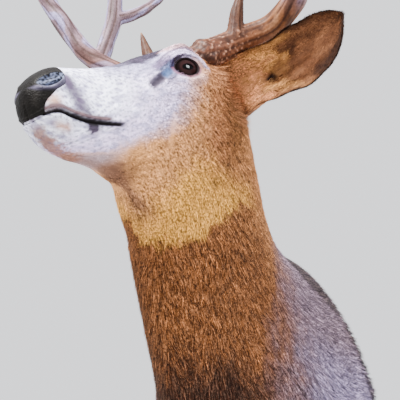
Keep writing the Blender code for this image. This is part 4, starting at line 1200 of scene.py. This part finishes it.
antler_bone, tree, shader = new_material("antler_bone")
place = places_of(tree)
speck = noise(tree, place, 260.0, 5.0, Roughness=0.7)
feed(shader, {"Base Color": scaled(tree, markings_of(tree), ranged(tree, speck, 0.3, 0.7, 0.65, 1.35)),
              "Roughness": ranged(tree, noise(tree, place, 30.0, 4.0), 0.3, 0.7, 0.38, 0.62),
              "Normal": relief(tree, speck, 0.5, 0.0007), "Specular IOR Level": 0.15})
runs = [antler_tube(BEAM, BEAM_RADII, BURR), antler_tube(BROW_TINE, BROW_RADII),
        antler_tube(FRONT_TINE, FRONT_RADII), antler_tube(REAR_STEM, REAR_RADII),
        antler_tube(REAR_TINE, REAR_TINE_RADII)]
for side, sign in (("left", 1.0), ("right", -1.0)):
    antler = fused("antler_" + side, runs, sign)
    mesh = antler.data
    count = len(mesh.vertices)
    world = np.zeros(count * 3, np.float32)
    mesh.vertices.foreach_get("co", world)
    local = to_head((world.reshape(-1, 3) / CM).astype(float)) * [1.0, sign, 1.0]
    at, left, spin, outward, run = nearest_run(local, runs)
    wander = ripple(local, 9.0, 31)
    ridges = np.cos(spin * 9.0 + 2.2 * wander + 0.10 * at) * 0.6 + np.cos(spin * 16.0 + 3.0 * wander) * 0.4
    rough = fade(PEARL_REACH + 4.0, 2.0, at)
    knobs = ripple(local, 0.62, 32)
    pearls = np.clip(0.9 * knobs + 0.8 * ripple(local, 0.42, 33) - 0.30, 0.0, 1.6) * rough
    burr = bell(at - 2.62, 0.42)
    shape = 0.060 * ridges * fade(0.0, 6.0, left) + 0.085 * pearls + 0.10 * burr * ripple(local, 0.9, 34)
    shape += 0.05 * ripple(local, 3.5, 35)
    world = to_room((local + outward * shape[:, None]) * [1.0, sign, 1.0]) * CM
    mesh.vertices.foreach_set("co", world.astype(np.float32).ravel())
    stripe = np.cos(spin * 3.0 + 2.6 * wander + 0.05 * at + 0.6)
    upper = fade(15.0, 27.0, at + 2.0 * wander)
    brow_tine = run == 1
    cracks = fade(0.0, -0.8, ridges + 0.3 * ripple(local, 1.1, 37)) * fade(0.5, 6.0, left)
    colour_points(mesh, paint(
        np.ones((count, 3)) * ANTLER_BROWN,
        (ANTLER_RED, 0.8 * rough),
        (ANTLER_GREY, 0.85 * upper),
        (ANTLER_PALE, 0.24 * fade(0.35, 0.95, stripe + 0.3 * ridges) * fade(8.0, 14.0, at)),
        # painted bluish highlight along the stripes of the upper antler
        (ANTLER_HIGHLIGHT_BLUE, 0.7 * upper * fade(0.2, 0.9, stripe + 0.35 * ripple(local, 2.2, 36))),
        (ANTLER_GROOVE, 0.70 * fade(-0.25, -0.95, stripe + 0.25 * ridges)),
        (ANTLER_GROOVE * 1.6, 0.80 * brow_tine * fade(34.0, 22.0, left + 4.0 * wander)),
        (ANTLER_PALE, 0.8 * fade(6.0 - 1.5 * brow_tine, 0.3, left)),
        (ANTLER_GROOVE, 0.75 * cracks),
        (ANTLER_PALE * [1.25, 1.15, 1.35], 0.85 * np.clip(1.3 * pearls - 0.35, 0.0, 1.0)),
        (ANTLER_GROOVE, 0.75 * rough * np.clip(-1.2 * knobs - 0.25, 0.0, 1.0)),
        (ANTLER_GROOVE, 0.5 * burr)))
    mesh.materials.clear()
    mesh.materials.append(antler_bone)
    mesh.polygons.foreach_set("use_smooth", np.ones(len(mesh.polygons), bool))
    mesh.update()
    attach(antler, "root")
    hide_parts(*("antler_" + part + side for part in ("beam_", "front_fork_", "rear_fork_")))

# ---------------------------------------------------------------- coat
# The hair itself: slivers of solid hair rooted in the hide, thin and tapered, overlapping like
# thatch from the nose back to the wall. Longer and coarser on the neck, longest under the throat,
# a nap of tiny hairs on the face. Roots are dark, from darker hair bases and painted shade deep in
# the coat; tips dark or pale, and hairs stand in small drifts.
PATCH = 0.003
WALL_GAP = 0.12
HAIR_BRIGHTEST = 0.95
LOCK_SEED = 11
MARKS = [0.0, LENGTHS[2], JAW_AT, BROW_AT, LENGTHS[10], MUZZLE_AT, NOSE_AT]
HAIR_ABOVE = [1.10, 1.15, 1.10, 0.78, 0.50, 0.38, 0.26]
HAIR_BELOW = [1.35, 1.65, 1.60, 1.30, 0.85, 0.55, 0.36]
HAIR_WIDE = [0.135, 0.130, 0.120, 0.090, 0.070, 0.060, 0.050]
HAIR_RISE = [0.16, 0.16, 0.14, 0.09, 0.055, 0.045, 0.045]
HAIR_VARIED = [0.62, 0.52, 0.46, 0.40, 0.34, 0.32, 0.26]
# Share of its tone a hair keeps at its root: darker hair bases and painted shade deep in the coat
HAIR_ROOT_BASE_AND_SHADE = [0.40, 0.42, 0.45, 0.58, 0.78, 0.88, 0.90]
HAIR_DARK_TIPS = [0.45, 0.42, 0.38, 0.28, 0.25, 0.22, 0.15]
HAIR_CLUMPED = [0.85, 0.95, 1.05, 1.15, 1.30, 1.20, 1.00]
HAIR_BLEACH = np.array([1.0, 0.70, 0.50])
HAIR_PALE_TIPS = [0.32, 0.30, 0.30, 0.26, 0.20, 0.20, 0.20]


def stand_on_hide(at, angle):
    """Point, outward direction and direction towards the wall of the skin, by small steps."""
    step = 0.05
    here = hide(at, angle)
    along = unit(hide(at - step, angle) - hide(at + step, angle))
    around = unit(hide(at, angle + step / 6.0) - hide(at, angle - step / 6.0))
    out = unit(np.cross(around, along))
    return here, out, unit(along - out * np.sum(along * out, axis=-1, keepdims=True))


def sow(draw, count, low, high, likely):
    """Lengths and angles of roots, spread evenly over the skin's area times a likelihood."""
    at_cells, angle_cells = 150, 260
    at_edges = np.linspace(low, high, at_cells + 1)
    angle_edges = np.linspace(0.0, 2.0 * math.pi, angle_cells + 1)
    corner = hide(*np.meshgrid(at_edges, angle_edges, indexing="ij"))
    side_a = corner[1:, :-1] - corner[:-1, :-1]
    side_b = corner[:-1, 1:] - corner[:-1, :-1]
    area = np.linalg.norm(np.cross(side_a, side_b), axis=-1)
    at, angle = np.meshgrid((at_edges[1:] + at_edges[:-1]) / 2, (angle_edges[1:] + angle_edges[:-1]) / 2,
                            indexing="ij")
    chance = (area * likely(at, angle)).ravel()
    cell = draw.choice(chance.size, count, p=chance / chance.sum())
    row, column = np.divmod(cell, angle_cells)
    at = at_edges[row] + draw.random(count) * (at_edges[1] - at_edges[0])
    return at, angle_edges[column] + draw.random(count) * (angle_edges[1] - angle_edges[0])


def dimmed(colours):
    """Colours brought down as a whole where their brightest part would pass a limit."""
    return colours / np.maximum(1.0, colours.max(axis=-1, keepdims=True) / HAIR_BRIGHTEST)


def locks(name, root, out, lie, size, tint, home, rings=1):
    """Closed three-sided tapered slivers. A sliver leaves its root along the lie, lifted by a share
    of its length that dies away towards the tip, and swings sideways with the square of the way.
    size is length, width, lift and swing; tint is one colour for each ring and one for the tip;
    shading normals lean out of the hide, so that the coat takes light as one soft surface."""
    length, width, lift, swing = (column[:, None, None] for column in size.T)
    across = np.cross(out, lie)
    way = np.linspace(0.0, 1.0, rings + 1)[None, :, None]
    spine = root[:, None] + lie[:, None] * length * way
    spine = spine + out[:, None] * (length * lift * way * (1.6 - 0.6 * way) - 0.05 * (1.0 - way))
    spine = spine + across[:, None] * length * swing * way**2
    half = width * np.linspace(0.5, 0.35, rings)[None, :, None]
    ring = np.stack([spine[:, :-1] - across[:, None] * half, spine[:, :-1] + across[:, None] * half,
                     spine[:, :-1] + out[:, None] * half * 0.55], axis=2)
    count = len(root)
    tip = rings * 3
    top = tip - 3
    points = np.concatenate([ring.reshape(count, tip, 3), spine[:, -1:]], axis=1)
    points[..., 1] = np.minimum(points[..., 1], -WALL_GAP)
    parts = [[[0, 2, 1]]]
    for r in range(top):
        after = (r + 1) % 3 + r - r % 3
        parts.append([[r, after, after + 3, r + 3]])
    parts.append([[top, top + 1, tip], [top + 1, top + 2, tip], [top + 2, top, tip]])
    start = (np.arange(count) * (tip + 1))[:, None, None]
    faces = [(start + np.array(part)).reshape(-1, len(part[0])) for part in parts]
    colour = np.concatenate([tint[:, :rings].repeat(3, axis=1), tint[:, -1:]], axis=1).reshape(-1, 3)
    over = np.concatenate([np.tile([0.0, 1.0, 0.5], rings), [0.5]])
    along = np.concatenate([np.repeat(np.arange(rings) / rings, 3), [1.0]])
    bake = home[:, None] * (1.0 - PATCH) + np.stack([over, along], axis=-1)[None] * PATCH
    made = add_piece(name, points.reshape(-1, 3), faces, colour, {"OFBake": bake.reshape(-1, 2)})
    lean = np.stack([out - 0.55 * across, out + 0.55 * across, out], axis=1)
    lean = np.concatenate([np.tile(lean, (1, rings, 1)), (out + 0.25 * lie)[:, None]], axis=1)
    made.data.normals_split_custom_set_from_vertices(unit(lean).reshape(-1, 3).astype(np.float32))
    made.data.materials.append(lock_hair)
    return made


def hair_grows(at, angle):
    """1 where hair may stand: not on the nose leather, the lid rims, the lips or in the gland."""
    local = to_head(hide(at, angle))
    outward, lid = eye_share(local)[2:]
    over, reach = mouth_distance(local)
    open_skin = (lid > 1.16) | (outward < -0.4)
    open_skin &= (over > 0.42) | (over < -0.26) | (reach < 0.2)
    open_skin &= (line_distance(local, GLAND)[0] > 0.52) | (local[..., 0] < 0.0)
    return open_skin & (at < nose_edge(angle) - 0.12)


def tip_tones(draw, count, dark, pale):
    """Share of its own tone that each hair shows at its tip: dark, pale or plain by chance."""
    pick = draw.random(count)
    return np.where(pick < dark, 0.25, np.where(pick > 1.0 - pale, 1.80, 1.05))


def coat(name, count, low, high, seed):
    """One piece of coat: roots sown between two lengths, hairs laid towards the wall and a little
    down, in drifts that turn together, tinted from the markings under their roots."""
    draw = np.random.default_rng(LOCK_SEED + seed)
    at, angle = sow(draw, count, low, high, hair_grows)
    root, out, lie = stand_on_hide(at, angle)
    below = (0.5 - 0.5 * np.cos(angle)) ** 2
    tables = (HAIR_ABOVE, HAIR_BELOW, HAIR_WIDE, HAIR_RISE, HAIR_VARIED, HAIR_ROOT_BASE_AND_SHADE, HAIR_DARK_TIPS,
              HAIR_PALE_TIPS, HAIR_CLUMPED)
    tables = [np.interp(at, MARKS, row) for row in tables]
    back, throat, width, rise, varied, roots, dark, pale, clumped = tables
    length = (back * (1.0 - below) + throat * below) * draw.uniform(0.75, 1.2, count)
    width = width * draw.uniform(0.7, 1.3, count)
    local = to_head(root)
    length = length * (0.50 + 0.50 * fade(1.2, 3.0, eye_share(local)[3]))
    ear_root = np.linalg.norm(local * near_side(local) - EAR_BASE - EAR_ALONG, axis=1)
    rise = rise + 0.50 * fade(6.0, 3.6, ear_root)
    around_cm = (math.pi - np.abs(math.pi - angle)) * np.interp(at, LENGTHS, ROWS[:, 9])
    flat_map = np.stack([at * 0.42, around_cm, 0.0 * at], axis=-1)
    clump = np.where(at < BROW_AT, ripple(flat_map, 0.38, 44), ripple(flat_map, 0.52, 45))
    drift = 0.20 * ripple(root, 5.0, 41) + 0.9 * rise * ripple(root, 1.3, 42) + draw.normal(0.0, 0.12, count)
    lie = lie + np.array([0.0, 0.0, -0.22])
    lie = unit(lie - out * np.sum(lie * out, axis=-1, keepdims=True))
    lie = lie * np.cos(drift)[:, None] + np.cross(out, lie) * np.sin(drift)[:, None]
    rise = rise * draw.uniform(0.5, 1.5, count) * (1.0 + 0.4 * clump)
    size = np.stack([length, width, rise, draw.normal(0.0, 0.10, count)], axis=1)
    shade = varied * (clumped * clump + 0.75 * draw.normal(0.0, 1.0, count)) - 0.4 * varied**2
    tone = markings(root + lie * (length * 0.3)[:, None]) * np.exp(shade)[:, None]
    tips = tip_tones(draw, count, dark, pale)
    tipped = tone * (1.0 + (tips - 1.0) * np.minimum(1.0, varied * 2.4))[:, None]
    tipped = tipped + 0.30 * ((tips > 1.5) * np.clip(varied - 0.28, 0.0, None))[:, None] * HAIR_BLEACH
    # root ring darkened: darker hair bases and painted shade deep in the coat
    tint = dimmed(np.stack([tone * roots[:, None], tipped], axis=1))
    home = np.stack([(at - low) / (high - low), angle / (2.0 * math.pi)], axis=1)
    made = locks(name, root, out, lie, size, tint, home)
    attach(made, "root")


lock_hair, tree, shader = new_material("lock_hair")
pepper = noise(tree, places_of(tree), 400.0, 1.0, Roughness=0.6)
feed(shader, {"Base Color": scaled(tree, markings_of(tree), ranged(tree, pepper, 0.32, 0.68, 0.35, 1.70)),
              "Roughness": ranged(tree, pepper, 0.0, 1.0, 0.60, 0.85),
              "Specular IOR Level": 0.08, "Sheen Weight": 0.01})
NECK_FROM = LENGTHS[2] - 1.0
for part in range(2):
    coat(f"coat_shoulder_{part + 1}", 42000, 0.0, NECK_FROM, part)
for part in range(4):
    low = NECK_FROM + (JAW_AT - NECK_FROM) * part / 4
    high = NECK_FROM + (JAW_AT - NECK_FROM) * (part + 1) / 4
    coat(f"coat_neck_{part + 1}", 42000, low, high, 10 + part)
coat("coat_jaw", 44000, JAW_AT, BROW_AT, 20)
coat("coat_face", 46000, BROW_AT, NOSE_AT, 30)

# Hairs of both ears: short on the back, long and pale inside the base and along the rims, laid
# towards the tip, with a dark fringe on the edges and long ones that close the join to the head.
EAR_HAIRS = 13000
for side, sign, seed in (("left", 1.0, 50), ("right", -1.0, 51)):
    draw = np.random.default_rng(LOCK_SEED + seed)
    share = -0.10 + draw.random(EAR_HAIRS) ** 0.9 * 1.08
    across = np.clip(draw.uniform(-1.0, 1.0, EAR_HAIRS), -0.985, 0.985)
    face = (draw.random(EAR_HAIRS) < 0.45).astype(float)
    fringe = (draw.random(EAR_HAIRS) < 0.20) & (share > 0.15)
    across = np.where(fringe, np.sign(across) * draw.uniform(0.90, 0.99, EAR_HAIRS), across)
    step = 0.01
    here = ear_shape(share, across, face)
    along = unit(ear_shape(share + step, across, face) - here)
    wide = unit(ear_shape(share, np.clip(across + step, -1, 1), face) - ear_shape(share, across - step, face))
    out = unit(np.cross(along, wide))
    out = out * np.sign(np.sum(out * (here - ear_shape(share, across, 1.0 - face)), axis=1))[:, None]
    turned = draw.normal(0.0, 0.20, EAR_HAIRS)
    turned = turned + np.where(fringe, np.sign(across) * 0.5, 0.12 * np.sin(share * 20.0))
    lie = along * np.cos(turned)[:, None] + wide * np.sin(turned)[:, None]
    length = np.where(face > 0.5, 0.8, 0.70 + 1.1 * fade(0.50, 0.10, share) * (np.abs(across) > 0.15))
    length = np.where(fringe, 0.75, length) * draw.uniform(0.7, 1.25, EAR_HAIRS)
    width = draw.uniform(0.06, 0.11, EAR_HAIRS)
    rise = np.where(face > 0.5, 0.10, 0.14) * draw.uniform(0.4, 1.5, EAR_HAIRS)
    size = np.stack([length, width, rise, draw.normal(0.0, 0.12, EAR_HAIRS)], axis=1)
    flip = np.array([1.0, sign, 1.0])
    root = to_room(here * flip)
    tone = ear_marks(share, across, face, root) * draw.lognormal(0.0, 0.25, EAR_HAIRS)[:, None]
    tips = tip_tones(draw, EAR_HAIRS, 0.25, 0.30)
    # roots a little darker: darker hair bases and painted shade in the coat
    tint = dimmed(np.stack([tone * 0.85, tone * tips[:, None]], axis=1))
    home = np.stack([(share + 0.12) / 1.12, (across + 1.0) / 4.0 + face * 0.5], axis=1)
    made = locks("coat_ear_" + side, root, out * flip @ AXES, lie * flip @ AXES, size, tint, home)
    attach(made, "root")

# ---------------------------------------------------------------- lashes
# Stiff dark lashes of the upper lid, thickest towards its front, standing out over the glass eye
# and curving up.
LASHES = 54
LASH_DARK = np.array([0.020, 0.012, 0.014])
for side, sign, seed in (("left", 1.0, 60), ("right", -1.0, 61)):
    draw = np.random.default_rng(LOCK_SEED + seed)
    turn = np.linspace(0.12, 0.80, LASHES) * math.pi + draw.normal(0.0, 0.02, LASHES)
    ahead = LID_LONG * 1.04 * np.cos(turn)
    up = LID_ABOVE * 1.04 * np.sin(turn)
    spread = EYE_AHEAD * (0.35 * np.cos(turn))[:, None] + EYE_UP * (0.55 * np.sin(turn))[:, None]
    root = EYE_MIDDLE + EYE_AHEAD * ahead[:, None] + EYE_UP * up[:, None]
    root = root + EYE_OUT * (glass_out(ahead, up) + 0.08)[:, None]
    lie = unit(EYE_OUT * 0.75 + spread)
    out = unit(EYE_UP - lie * (lie @ EYE_UP)[:, None])
    length = draw.uniform(0.65, 1.05, LASHES) * (0.75 + 0.35 * np.cos(turn))
    swing = draw.normal(0.0, 0.12, LASHES)
    size = np.stack([length, np.full(LASHES, 0.045), np.full(LASHES, 0.25), swing], axis=1)
    flip = np.array([1.0, sign, 1.0])
    home = np.stack([np.linspace(0.0, 1.0, LASHES), np.full(LASHES, 0.5)], axis=1)
    made = locks("lashes_" + side, to_room(root * flip), out * flip @ AXES, lie * flip @ AXES, size,
                 np.tile(LASH_DARK, (LASHES, 3, 1)), home, rings=2)
    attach(made, "root")
